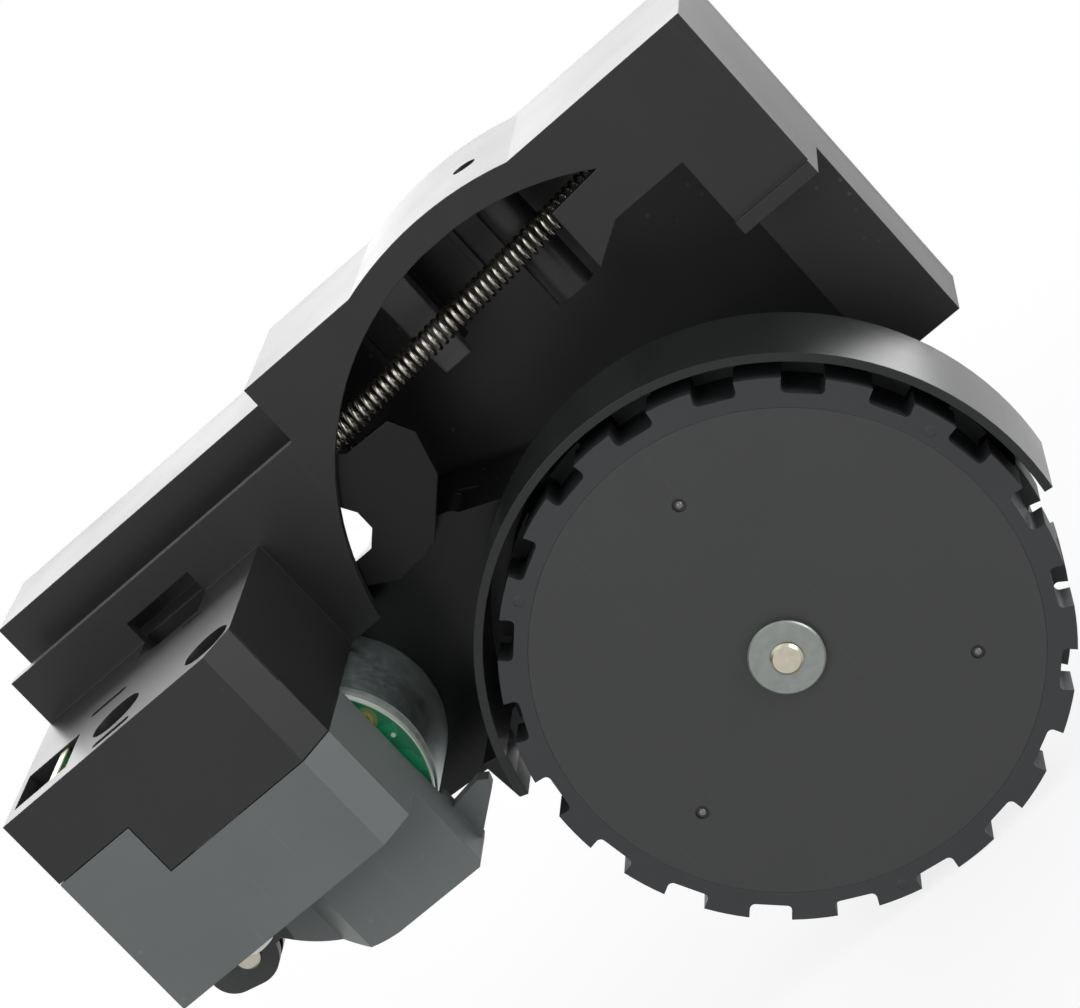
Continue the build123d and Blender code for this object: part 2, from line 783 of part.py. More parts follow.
# Screws that hold the lower cover to the housing's posts
with BuildPart() as cover_screws:
    with BuildSketch(Plane.XY.offset(cover_low)):
        for site in cover_screw_sites:
            circles((site, cover_screw_radius))
    extrude(amount=wall + screw_reach)
    with BuildSketch(Plane.XY.offset(cover_low)):
        for site in cover_screw_sites:
            circles((site, screw_cap_radius))
    extrude(amount=-screw_cap_depth)
    chamfer(cover_screws.faces().group_by(Axis.Z)[0].edges(), screw_cap_chamfer)
    with BuildSketch(Plane.XY.offset(cover_low - screw_cap_depth)):
        crosses(cover_screw_sites)
    extrude(amount=screw_cap_depth * cross_share, mode=Mode.SUBTRACT)
finish(cover_screws.part, "cover_screws")

# Steel pin that the arm turns on, with its clip behind the housing
pin_front = boss_front - pin_setback
pin_groove_radius = pin_radius - pin_groove
with BuildPart() as pivot_pin:
    with BuildSketch(facing(pin_front)):
        circles((pivot, pin_radius))
    extrude(amount=pin_front - housing_rear - clip_thickness - pin_tail)
    chamfer(pivot_pin.faces().sort_by(Axis.Y)[0].edges(), pin_chamfer)
    with BuildSketch(facing(housing_rear + seat_gap)):
        circles((pivot, pin_radius + overcut))
        with Locations(pivot):
            Circle(pin_groove_radius, mode=Mode.SUBTRACT)
    extrude(amount=-clip_thickness, mode=Mode.SUBTRACT)
finish(pivot_pin.part, "pivot_pin")

with BuildPart() as pin_clip:
    with BuildSketch(facing(housing_rear + 2 * seat_gap)):
        with Locations(pivot):
            Circle(pin_radius + clip_rim)
            Circle(pin_groove_radius + seat_gap, mode=Mode.SUBTRACT)
        with Locations((pivot_x, pivot_z - pin_radius - clip_rim / 2)):
            Rectangle(clip_rim, 2 * pin_radius + clip_rim, mode=Mode.SUBTRACT)
    extrude(amount=-clip_thickness + 2 * seat_gap)
finish(pin_clip.part, "pin_clip")

# Connector board that stands in the block, with its gold strips
strip_pitch = board_span / (strip_count + 1)
with BuildPart() as connector_board:
    with BuildSketch(Plane.YZ.offset(connector_x)):
        with Locations((board_middle, (connector_low - connector_drop) / 2)):
            Rectangle(board_span - running_gap, -connector_drop - connector_low)
    extrude(amount=connector_thickness)
finish(connector_board.part, "connector_board")

with BuildPart() as contact_strips:
    with BuildSketch(Plane.YZ.offset(connector_x + connector_thickness)):
        with Locations((board_middle, strip_middle)):
            with GridLocations(strip_pitch, 1, strip_count, 1):
                Rectangle(strip_share * strip_pitch, strip_length)
    extrude(amount=strip_thickness)
finish(contact_strips.part, "contact_strips")

# Drop switch behind the deck wall, and the plunger that the raised arm presses
plunger_y = deck_front + wall + switch_depth / 2 + plunger_setback
with BuildPart() as drop_switch:
    with BuildSketch(facing(deck_front + wall + seat_gap)):
        with Locations((switch_left + switch_length / 2, switch_low + switch_height / 2)):
            RectangleRounded(switch_length, switch_height, switch_corner)
        for peg_x in switch_peg_sites:
            with Locations((peg_x, switch_low + switch_height / 2)):
                Circle(peg_radius + seat_gap, mode=Mode.SUBTRACT)
    extrude(amount=-switch_depth)
    with BuildSketch(Plane.XY.offset(switch_low + switch_height)):
        with Locations((switch_left + switch_length / 2, deck_front + wall + switch_depth / 2)):
            with GridLocations(tab_pitch, 1, tab_count, 1):
                Rectangle(tab_width, tab_depth)
    extrude(amount=tab_height)
    with BuildSketch(Plane.XY.offset(switch_low)):
        with Locations((plunger_x, plunger_y)):
            Circle(plunger_radius + running_gap)
    extrude(amount=plunger_hole_depth, mode=Mode.SUBTRACT)
finish(drop_switch.part, "drop_switch")

plunger_low = plunger_rest - plunger_travel
plunger_top = switch_low + plunger_hole_depth - plunger_travel - plunger_play
with BuildPart() as switch_plunger:
    with BuildSketch(Plane.XY.offset(plunger_low)):
        with Locations((plunger_x, plunger_y)):
            Circle(plunger_radius)
    extrude(amount=plunger_top - plunger_low)
    fillet(switch_plunger.faces().sort_by(Axis.Z)[0].edges(), plunger_round)
finish(switch_plunger.part, "switch_plunger")

# Gear case: one moulding with the fender, its neck, the motor's cup and the pivot's barrel
case_split = motor_rear + case_wall
gear_two_front_reach = third_module * (third_pinion_teeth / 2 + 1) + gear_gap + case_wall
gear_one_room = first_gear_tip + gear_gap
gear_two_rear_reach = second_gear_tip + gear_gap + case_side_wall
ear_sites = [case_boss] + [along(axle, ear_angle, output_reach + ear_reach) for ear_angle in ear_angles]
web_screw = along(pivot, bearing(pivot, motor) + web_screw_turn, web_screw_reach)
cover_sites = ear_sites + [web_screw]


def case_outline(gear_two_reach):
    """Adds the outline of the gear case to the sketch that is open."""
    shoulder = (case_shoulder, case_shoulder_radius)
    bridge((motor, cup_radius), (gear_two, gear_two_reach), (case_boss, case_boss_radius), shoulder)
    bridge((case_boss, 0.8 * case_boss_radius), (gear_two, 0.9 * gear_two_reach), (axle, output_reach))
    bridge((pivot, barrel_radius), (motor, cup_radius - case_wall / 2))


def sector(inner, outer, start, end):
    """Adds a ring segment round the axle to the sketch that is open."""
    middle = (start + end) / 2
    with BuildLine(mode=Mode.PRIVATE) as outline:
        ThreePointArc(along(axle, start, outer), along(axle, middle, outer), along(axle, end, outer))
        Line(along(axle, end, outer), along(axle, end, inner))
        ThreePointArc(along(axle, end, inner), along(axle, middle, inner), along(axle, start, inner))
        Line(along(axle, start, inner), along(axle, start, outer))
    make_face(outline.edges())


fender_outer_radius = fender_inner_radius + fender_wall
web_front = fender_front + fender_depth
web_rear = web_front + fender_web
barrel_front = tier_rear + board_gap
lever_front = wall_rear + lever_gap
lever_rear = spring_y - spring_radius - 2 * running_gap
peg_rear = spring_y + spring_radius - spring_wire
with BuildPart() as gear_case:
    # Case in two steps, the rear one as wide as the large gears
    with BuildSketch(facing(case_front)):
        case_outline(gear_two_front_reach)
    extrude(amount=case_front - case_split)
    with BuildSketch(facing(case_split)):
        case_outline(gear_two_rear_reach)
    extrude(amount=case_split - case_rear)
    with BuildSketch(facing(case_split - ear_length)):
        circles(*[(site, case_boss_radius) for site in ear_sites[1:]])
    extrude(amount=case_split - ear_length - case_rear)
    with BuildSketch(facing(case_rear)):
        circles(*[(site, cover_screw_radius + seat_gap) for site in cover_sites])
    extrude(amount=screw_reach + screw_spare, mode=Mode.SUBTRACT)
    # Fender band, its web and the neck that joins it to the case
    with BuildSketch(facing(fender_front)):
        sector(fender_inner_radius, fender_outer_radius, fender_start_angle, fender_end_angle)
    extrude(amount=-fender_depth - fender_web)
    with BuildSketch(facing(web_front)):
        sector(web_inner_radius, fender_outer_radius, fender_start_angle, fender_end_angle)
        circles((axle, neck_radius))
    extrude(amount=-fender_web)
    with BuildSketch(facing(web_rear)):
        circles((axle, neck_radius))
        with Locations(axle):
            Circle(neck_radius - case_wall, mode=Mode.SUBTRACT)
            Circle(axle_boss_radius)
            with PolarLocations(0, neck_rib_count):
                Rectangle(2 * neck_radius - case_wall, neck_rib_width)
    extrude(amount=web_rear - case_front)
    with BuildSketch(facing(web_rear)):
        circles((axle, axle_boss_radius))
    extrude(amount=web_rear - case_front - case_wall)
    # Barrel round the pivot pin
    with BuildSketch(facing(barrel_front)):
        circles((pivot, barrel_radius))
    extrude(amount=barrel_front - case_rear)
    # Gusset from the barrel towards the motor
    gusset_angle = radians(bearing(pivot, motor))
    gusset_plane = Plane(origin=(pivot_x, case_front, pivot_z),
                         x_dir=(cos(gusset_angle), 0, sin(gusset_angle)),
                         z_dir=(sin(gusset_angle), 0, -cos(gusset_angle)))
    gusset_reach = hypot(motor_x - pivot_x, motor_z - pivot_z) - motor_radius - lever_gap
    with BuildSketch(gusset_plane):
        with BuildLine():
            Polyline((barrel_radius - gusset_overlap, 0), (gusset_reach, 0), (gusset_reach, gusset_low),
                     (barrel_radius - gusset_overlap, gusset_high), close=True)
        make_face()
    extrude(amount=case_wall / 2, both=True)
    # Lever that pulls the spring, with its peg
    with BuildSketch(facing(lever_front)):
        with BuildLine():
            Polyline(*[(lug_x + step_x, lug_z + step_z) for step_x, step_z in lever_steps], close=True)
        make_face()
        circles((lug, lug_radius))
    extrude(amount=lever_front - lever_rear)
    with BuildSketch(facing(lever_front)):
        bridge(*[(site, lever_foot_radius) for site in lever_foot])
    extrude(amount=lever_front - case_front - case_wall)
    with BuildSketch(facing(lever_rear)):
        circles((lug, peg_radius))
    extrude(amount=lever_rear - peg_rear)
    # Hook under the fender's lower end
    with BuildSketch(facing(fender_front + hook_setback)):
        with BuildLine():
            hook_top = along(axle, fender_end_angle, fender_outer_radius)
            Polyline(hook_top, along(axle, fender_end_angle + hook_lean, fender_outer_radius + hook_reach),
                     along(axle, fender_end_angle + hook_angle, fender_outer_radius),
                     along(axle, fender_end_angle + hook_angle + hook_taper, fender_inner_radius),
                     along(axle, fender_end_angle + hook_angle / 2, fender_inner_radius),
                     along(axle, fender_end_angle, fender_inner_radius), close=True)
        make_face()
    extrude(amount=-hook_depth)
    # Inside of the case: third stage in front, first and second stage behind
    with BuildSketch(facing(case_front + case_wall)):
        bridge((gear_two, gear_two_front_reach - case_wall), (axle, output_reach - case_wall))
        bridge((case_shoulder, case_shoulder_radius - case_wall), (gear_one, gear_one_front_reach),
               (gear_two, gear_two_front_reach - case_wall - 0.2 * case_wall))
        with Locations(motor):
            Circle(cup_radius, mode=Mode.SUBTRACT)
        with Locations(gear_one):
            Circle(gear_one_seat_radius, mode=Mode.SUBTRACT)
    extrude(amount=case_front + case_wall - case_split, mode=Mode.SUBTRACT)
    with BuildSketch(facing(case_split)):
        bridge((motor, motor_room), (gear_one, gear_one_room + chamber_step))
        bridge((gear_one, gear_one_room), (gear_two, second_gear_tip + gear_gap))
        bridge((gear_two, second_gear_tip), (axle, output_reach - case_wall))
    extrude(amount=case_split - case_rear, mode=Mode.SUBTRACT)
    # Motor's cup, open to the front, and the holes in its bulkhead
    with BuildSketch(facing(case_front)):
        circles((motor, motor_radius + 2 * motor_play))
    extrude(amount=case_front - motor_rear, mode=Mode.SUBTRACT)
    motor_screw_sites = [along(motor, first_direction + turn, motor_screw_reach) for turn in (90, -90)]
    with BuildSketch(facing(motor_rear)):
        circles((motor, motor_boss_radius + motor_play))
        circles(*[(site, motor_screw_radius + 3 * motor_play) for site in motor_screw_sites])
    extrude(amount=-case_wall, mode=Mode.SUBTRACT)
    # Bores for the pin, the axle's bush and the gear shafts
    with BuildSketch(facing(barrel_front)):
        circles((pivot, pin_radius + running_gap))
    extrude(amount=barrel_front - case_rear, mode=Mode.SUBTRACT)
    with BuildSketch(facing(web_front)):
        circles((axle, axle_radius + bore_play))
    extrude(amount=web_front - case_front - case_wall, mode=Mode.SUBTRACT)
    with BuildSketch(facing(case_front + case_wall - bush_length)):
        circles((axle, bush_radius + seat_gap))
    extrude(amount=-bush_length, mode=Mode.SUBTRACT)
    with BuildSketch(facing(case_split - shaft_seat)):
        circles((gear_one, gear_shaft_radius + seat_gap))
    extrude(amount=-shaft_seat, mode=Mode.SUBTRACT)
    with BuildSketch(facing(case_front + shaft_rest)):
        circles((gear_two, gear_shaft_radius + seat_gap))
    extrude(amount=-case_wall, mode=Mode.SUBTRACT)
finish(gear_case.part, "gear_case")

# Rear cover of the gear case
cover_face = case_rear + case_cover_thickness
with BuildPart() as gear_case_cover:
    with BuildSketch(facing(case_rear)):
        case_outline(gear_two_rear_reach)
        circles(*[(site, case_boss_radius) for site in ear_sites[1:]])
    extrude(amount=-case_cover_thickness)
    with BuildSketch(facing(case_rear)):
        circles((axle, bush_radius + boss_wall))
    extrude(amount=rear_bush_reach)
    with BuildSketch(facing(case_rear - rear_bush_reach)):
        circles((axle, bush_radius + seat_gap))
    extrude(amount=-rear_bush_reach - case_cover_thickness, mode=Mode.SUBTRACT)
    with BuildSketch(facing(case_rear)):
        circles((pivot, pin_radius + running_gap))
        circles((gear_one, gear_shaft_radius + seat_gap), (gear_two, gear_shaft_radius + seat_gap))
        circles(*[(site, cover_screw_radius + screw_play) for site in cover_sites])
    extrude(amount=-case_cover_thickness, mode=Mode.SUBTRACT)
finish(gear_case_cover.part, "gear_case_cover")

with BuildPart() as case_screws:
    with BuildSketch(facing(cover_face)):
        circles(*[(site, cover_screw_radius) for site in cover_sites])
    extrude(amount=case_cover_thickness + screw_reach)
    with BuildSketch(facing(cover_face)):
        circles(*[(site, screw_cap_radius) for site in cover_sites])
    extrude(amount=-screw_cap_depth)
    with BuildSketch(facing(cover_face + screw_cap_depth)):
        crosses(cover_sites)
    extrude(amount=screw_cap_depth * cross_share, mode=Mode.SUBTRACT)
finish(case_screws.part, "case_screws")

# Motor with its flux ring, end cap, shaft and encoder
can_radius = motor_radius - flux_ring_wall
cap_radius = can_radius - can_rim
with BuildPart() as motor_can:
    with BuildSketch(facing(motor_front)):
        circles((motor, can_radius))
    extrude(amount=-motor_length)
    with BuildSketch(facing(motor_rear)):
        circles((motor, motor_boss_radius))
    extrude(amount=-case_wall)
    with BuildSketch(facing(motor_front)):
        circles((motor, cap_radius + seat_gap))
    extrude(amount=-cap_depth, mode=Mode.SUBTRACT)
    with BuildSketch(facing(motor_front)):
        circles((motor, shaft_radius + running_gap))
    extrude(amount=-motor_length - case_wall, mode=Mode.SUBTRACT)
    with BuildSketch(facing(motor_rear)):
        circles(*[(site, motor_screw_radius + motor_play) for site in motor_screw_sites])
    extrude(amount=motor_screw_length + screw_play, mode=Mode.SUBTRACT)
finish(motor_can.part, "motor_can")

with BuildPart() as flux_ring:
    with BuildSketch(facing(motor_front + ring_setback)):
        circles((motor, motor_radius))
        with Locations(motor):
            Circle(can_radius + seat_gap, mode=Mode.SUBTRACT)
    extrude(amount=ring_setback - motor_length)
finish(flux_ring.part, "flux_ring")

board_rear = motor_front - board_gap
with BuildPart() as motor_end_cap:
    with BuildSketch(facing(board_rear)):
        circles((motor, cap_radius))
        with Locations(motor):
            Circle(shaft_radius + running_gap, mode=Mode.SUBTRACT)
    extrude(amount=-cap_depth - board_gap)
finish(motor_end_cap.part, "motor_end_cap")

with BuildPart() as encoder_board:
    with BuildSketch(facing(board_rear - board_thickness)):
        with Locations(motor):
            Circle(board_radius - 2 * motor_play)
            Circle(board_hole_radius, mode=Mode.SUBTRACT)
        with Locations(board_pad):
            Circle(board_pad_radius, mode=Mode.SUBTRACT)
    extrude(amount=-board_thickness)
finish(encoder_board.part, "encoder_board")

magnet_front = board_rear - board_thickness - magnet_gap - magnet_thickness
with BuildPart() as encoder_magnet:
    with BuildSketch(facing(magnet_front)):
        with Locations(motor):
            Circle(magnet_radius)
            Circle(shaft_radius, mode=Mode.SUBTRACT)
    extrude(amount=-magnet_thickness)
finish(encoder_magnet.part, "encoder_magnet")

with BuildPart() as motor_shaft:
    with BuildSketch(facing(magnet_front - shaft_nose)):
        circles((motor, shaft_radius))
    extrude(amount=magnet_front - shaft_nose - first_plane - first_width)
finish(motor_shaft.part, "motor_shaft")

with BuildPart() as motor_screws:
    with BuildSketch(facing(case_split)):
        circles(*[(site, motor_screw_radius) for site in motor_screw_sites])
    extrude(amount=case_wall + motor_screw_length)
    with BuildSketch(facing(case_split)):
        circles(*[(site, motor_screw_cap_radius) for site in motor_screw_sites])
    extrude(amount=-motor_screw_cap_depth)
finish(motor_screws.part, "motor_screws")

# Gear train, meshed from the motor to the wheel
pinion_phase = 90 - first_direction
first_phase = meshed(pinion_phase, motor, gear_one, first_pinion_teeth, first_gear_teeth)
second_phase = meshed(first_phase, gear_one, gear_two, second_pinion_teeth, second_gear_teeth)
third_phase = meshed(second_phase, gear_two, axle, third_pinion_teeth, third_gear_teeth)
with BuildPart() as motor_pinion:
    with BuildSketch(facing(first_plane)):
        with BuildLine():
            Polyline(*gear_points(motor, first_pinion_teeth, first_module, pinion_phase), close=True)
        make_face()
        with Locations(motor):
            Circle(shaft_radius, mode=Mode.SUBTRACT)
    extrude(amount=-first_width)
finish(motor_pinion.part, "motor_pinion")

with BuildPart() as gear_one_part:
    with BuildSketch(facing(first_plane)):
        with BuildLine():
            Polyline(*gear_points(gear_one, first_gear_teeth, first_module, first_phase), close=True)
        make_face()
    extrude(amount=-first_width)
    with BuildSketch(facing(second_plane)):
        with BuildLine():
            Polyline(*gear_points(gear_one, second_pinion_teeth, second_module, first_phase), close=True)
        make_face()
    extrude(amount=second_plane - first_plane)
    with BuildSketch(facing(second_plane)):
        circles((gear_one, gear_shaft_radius + running_gap))
    extrude(amount=second_plane - first_plane - first_width, mode=Mode.SUBTRACT)
finish(gear_one_part.part, "gear_one")

with BuildPart() as gear_two_part:
    with BuildSketch(facing(second_plane)):
        with BuildLine():
            Polyline(*gear_points(gear_two, second_gear_teeth, second_module, second_phase), close=True)
        make_face()
    extrude(amount=-second_width)
    with BuildSketch(facing(third_plane)):
        with BuildLine():
            Polyline(*gear_points(gear_two, third_pinion_teeth, third_module, second_phase), close=True)
        make_face()
    extrude(amount=third_plane - second_plane)
    with BuildSketch(facing(third_plane)):
        circles((gear_two, gear_shaft_radius + running_gap))
    extrude(amount=third_plane - second_plane - second_width, mode=Mode.SUBTRACT)
finish(gear_two_part.part, "gear_two")

with BuildPart() as output_gear:
    with BuildSketch(facing(third_plane)):
        with BuildLine():
            Polyline(*gear_points(axle, third_gear_teeth, third_module, third_phase), close=True)
        make_face()
        with Locations(axle):
            Circle(axle_radius + seat_gap, mode=Mode.SUBTRACT)
            with PolarLocations(gear_window_reach, rib_count):
                Circle(gear_window_radius, mode=Mode.SUBTRACT)
    extrude(amount=-third_width)
finish(output_gear.part, "output_gear")

with BuildPart() as gear_one_shaft:
    with BuildSketch(facing(case_split - shaft_seat)):
        circles((gear_one, gear_shaft_radius))
    extrude(amount=case_split - shaft_seat - cover_face)
finish(gear_one_shaft.part, "gear_one_shaft")

with BuildPart() as gear_two_shaft:
    with BuildSketch(facing(case_front + shaft_rest)):
        circles((gear_two, gear_shaft_radius))
    extrude(amount=case_front + shaft_rest - cover_face)
finish(gear_two_shaft.part, "gear_two_shaft")

# Bushes and axle
with BuildPart() as front_bush:
    with BuildSketch(facing(case_front + case_wall - bush_length)):
        with Locations(axle):
            Circle(bush_radius)
            Circle(axle_radius + running_gap, mode=Mode.SUBTRACT)
    extrude(amount=-bush_length)
finish(front_bush.part, "front_bush")

with BuildPart() as rear_bush:
    with BuildSketch(facing(case_rear - rear_bush_reach)):
        with Locations(axle):
            Circle(bush_radius)
            Circle(axle_radius + running_gap, mode=Mode.SUBTRACT)
    extrude(amount=-rear_bush_reach - case_cover_thickness)
finish(rear_bush.part, "rear_bush")

with BuildPart() as wheel_axle:
    with BuildSketch(facing(wheel_front - axle_nose)):
        circles((axle, axle_radius))
    extrude(amount=wheel_front - axle_nose - cover_face)
    chamfer(wheel_axle.faces().sort_by(Axis.Y)[0].edges(), axle_chamfer)
finish(wheel_axle.part, "wheel_axle")

with BuildPart() as axle_washer:
    with BuildSketch(facing(wheel_front - washer_thickness)):
        with Locations(axle):
            Circle(washer_radius)
            Circle(axle_radius + seat_gap, mode=Mode.SUBTRACT)
    extrude(amount=-washer_thickness)
    chamfer(axle_washer.faces().sort_by(Axis.Y)[0].outer_wire().edges(), washer_chamfer)
finish(axle_washer.part, "axle_washer")

# Wheel: one moulding with its disc, drum, hub and ribs, and the tyre on it
wheel_rear = wheel_front + tread_width
hub_rear = web_front - hub_clearance
with BuildPart() as wheel_disc:
    with BuildSketch(facing(wheel_front)):
        circles((axle, disc_radius))
    extrude(amount=-disc_thickness)
    with BuildSketch(facing(wheel_front + disc_thickness)):
        circles((axle, tread_inner_radius))
        with Locations(axle):
            Circle(tread_inner_radius - wall, mode=Mode.SUBTRACT)
            Circle(hub_radius)
            with PolarLocations(0, rib_count // 2):
                Rectangle(2 * tread_inner_radius - wall, wheel_rib_width)
    extrude(amount=disc_thickness - tread_width + drum_setback)
    with BuildSketch(facing(wheel_front + disc_thickness)):
        circles((axle, hub_radius))
    extrude(amount=wheel_front + disc_thickness - hub_rear)
    with BuildSketch(facing(wheel_front)):
        circles((axle, axle_radius + seat_gap))
    extrude(amount=wheel_front - hub_rear, mode=Mode.SUBTRACT)
    with BuildSketch(facing(wheel_front)):
        circles(*[(along(axle, angle, dimple_ring_radius), dimple_radius) for angle in dimple_angles])
    extrude(amount=-dimple_depth, mode=Mode.SUBTRACT)
finish(wheel_disc.part, "wheel_disc")

lug_pitch = 360 / lug_count
notch_width = 2 * pi * tread_radius / lug_count * (1 - lug_share)


def tread_row(phase):
    """Adds one row of tread lugs to the sketch that is open."""
    circles((axle, tread_radius))
    with Locations(axle):
        with PolarLocations(tread_radius, lug_count, start_angle=phase):
            RectangleRounded(2 * tread_depth, notch_width, notch_corner * notch_width, mode=Mode.SUBTRACT)


with BuildPart() as tyre:
    with BuildSketch(facing(wheel_front)):
        tread_row(lug_phase)
    extrude(amount=-lug_row_width)
    with BuildSketch(facing(wheel_front + lug_row_width)):
        circles((axle, tread_root_radius))
    extrude(amount=2 * lug_row_width - tread_width)
    with BuildSketch(facing(wheel_rear - lug_row_width)):
        tread_row(lug_phase + lug_pitch / 2)
    extrude(amount=-lug_row_width)
    with BuildSketch(facing(wheel_front)):
        circles((axle, disc_radius + seat_gap))
    extrude(amount=-disc_thickness - seat_gap, mode=Mode.SUBTRACT)
    with BuildSketch(facing(wheel_front)):
        circles((axle, tread_inner_radius + seat_gap))
    extrude(amount=-tread_width, mode=Mode.SUBTRACT)
finish(tyre.part, "tyre")

# Extension spring from the arm's peg to the housing's, its turns a stepped helix
coil_radius = spring_radius - spring_wire
loop_radius = peg_radius + spring_wire + running_gap
spring_angle = radians(bearing(lug, anchor))
spring_line = Vector(cos(spring_angle), 0, sin(spring_angle))
spring_span = hypot(anchor_x - lug_x, anchor_z - lug_z)
spring_turns = round((spring_span - 2 * spring_lead) / spring_pitch)
turn_steps = 8
coil_length = spring_span - 2 * spring_lead
coil_start = Vector(lug_x, spring_y, lug_z) + spring_line * spring_lead
coil_plane = Plane(origin=coil_start, x_dir=(0, -1, 0), z_dir=spring_line)
step_angle = 2 * pi / turn_steps
coil_points = [
    (coil_radius * cos(step * step_angle), coil_radius * sin(step * step_angle),
     coil_length * step / (spring_turns * turn_steps))
    for step in range(spring_turns * turn_steps + 1)
]
with BuildPart() as tension_spring:
    with BuildLine(coil_plane) as coil:
        Polyline((0, 0, loop_radius - spring_lead), *coil_points,
                 (0, 0, coil_length + spring_lead - loop_radius))
    with BuildSketch(Plane(origin=coil.line @ 0, z_dir=coil.line % 0)):
        RegularPolygon(spring_wire, 5)
    sweep(transition=Transition.RIGHT)
    for centre in (lug, anchor):
        with BuildSketch(Plane(origin=(centre[0] + loop_radius * cos(spring_angle + pi), spring_y,
                                       centre[1] + loop_radius * sin(spring_angle + pi)),
                               x_dir=(0, -1, 0), z_dir=(-sin(spring_angle), 0, cos(spring_angle)))):
            Circle(spring_wire)
        revolve(axis=Axis((centre[0], spring_y, centre[1]), (0, -1, 0)))
finish(tension_spring.part, "tension_spring")
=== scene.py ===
import bmesh
import bpy
import numpy as np
from mathutils import Matrix, Vector


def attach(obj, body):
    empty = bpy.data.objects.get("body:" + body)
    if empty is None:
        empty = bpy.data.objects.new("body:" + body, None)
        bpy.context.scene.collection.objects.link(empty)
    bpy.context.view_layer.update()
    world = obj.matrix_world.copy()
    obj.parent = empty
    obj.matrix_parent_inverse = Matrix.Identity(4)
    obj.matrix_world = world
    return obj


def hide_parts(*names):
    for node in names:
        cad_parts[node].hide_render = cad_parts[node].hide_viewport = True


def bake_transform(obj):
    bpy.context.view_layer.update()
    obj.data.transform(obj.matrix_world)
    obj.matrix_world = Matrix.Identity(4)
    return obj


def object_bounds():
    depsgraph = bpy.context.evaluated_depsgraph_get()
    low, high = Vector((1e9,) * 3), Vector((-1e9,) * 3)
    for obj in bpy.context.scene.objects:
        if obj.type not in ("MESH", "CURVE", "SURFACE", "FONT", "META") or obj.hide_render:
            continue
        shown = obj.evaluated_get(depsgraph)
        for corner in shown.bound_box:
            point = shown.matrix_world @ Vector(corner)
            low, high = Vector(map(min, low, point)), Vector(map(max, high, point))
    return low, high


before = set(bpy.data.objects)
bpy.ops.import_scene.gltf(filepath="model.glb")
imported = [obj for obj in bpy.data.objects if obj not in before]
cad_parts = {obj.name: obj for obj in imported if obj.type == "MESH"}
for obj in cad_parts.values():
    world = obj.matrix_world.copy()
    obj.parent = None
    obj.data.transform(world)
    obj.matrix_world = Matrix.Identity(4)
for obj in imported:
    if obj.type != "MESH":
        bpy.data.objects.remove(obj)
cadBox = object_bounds()
print("frame loaded:", len(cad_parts), "nodes")

mm = 0.001
axle = (50.6, -50.3)  # the wheel's axle, across and up in millimetres
motor = (-7.45, -27.9)


# Camera: where the photograph was taken from, in the row frame
photoCamera = {
    "eye": (0.1563, -0.4338, 0.0811),
    "right": (0.7428, 0.0483, -0.6677),
    "down": (-0.6223, -0.3181, -0.7153),
    "forward": (-0.2470, 0.9468, -0.2062),
    "focalPixels": 3803.4,
    "frameWidth": 1080.0,
    "sensorWidth": 36.0,
    "near": 0.02,
    "far": 30,
}


def placeCamera(spec):
    data = bpy.data.cameras.new("camera")
    data.sensor_fit = "HORIZONTAL"
    data.sensor_width = spec["sensorWidth"]
    data.lens = spec["sensorWidth"] * spec["focalPixels"] / spec["frameWidth"]
    data.clip_start = spec["near"]
    data.clip_end = spec["far"]
    holder = bpy.data.objects.new("camera", data)
    right = Vector(spec["right"]).normalized()
    back = -Vector(spec["forward"]).normalized()
    up = back.cross(right).normalized()
    right = up.cross(back)
    turn = Matrix((right, up, back)).transposed()
    holder.matrix_world = Matrix.Translation(Vector(spec["eye"])) @ turn.to_4x4()
    bpy.context.scene.collection.objects.link(holder)
    bpy.context.scene.camera = holder


placeCamera(photoCamera)


# Shader maths: a socket that takes plain Python operators
class Strand:
    def __init__(self, graph, socket):
        self.graph = graph
        self.socket = socket

    def maths(self, operation, first, second):
        return self.graph.node("ShaderNodeMath", {"operation": operation}, {0: first, 1: second})

    def __add__(self, other):
        return self.maths("ADD", self, other)

    def __radd__(self, other):
        return self.maths("ADD", other, self)

    def __sub__(self, other):
        return self.maths("SUBTRACT", self, other)

    def __rsub__(self, other):
        return self.maths("SUBTRACT", other, self)

    def __mul__(self, other):
        return self.maths("MULTIPLY", self, other)

    def __rmul__(self, other):
        return self.maths("MULTIPLY", other, self)


class Graph:
    # A node tree and the one way to add a node to it
    def __init__(self, tree):
        self.tree = tree

    def node(self, kind, settings=None, inputs=None, output=0):
        made = self.tree.nodes.new(kind)
        for key, value in (settings or {}).items():
            setattr(made, key, value)
        for key, value in (inputs or {}).items():
            self.feed(made.inputs[key], value)
        return Strand(self, made.outputs[output])

    def feed(self, socket, value):
        if isinstance(value, Strand):
            self.tree.links.new(value.socket, socket)
        else:
            socket.default_value = value


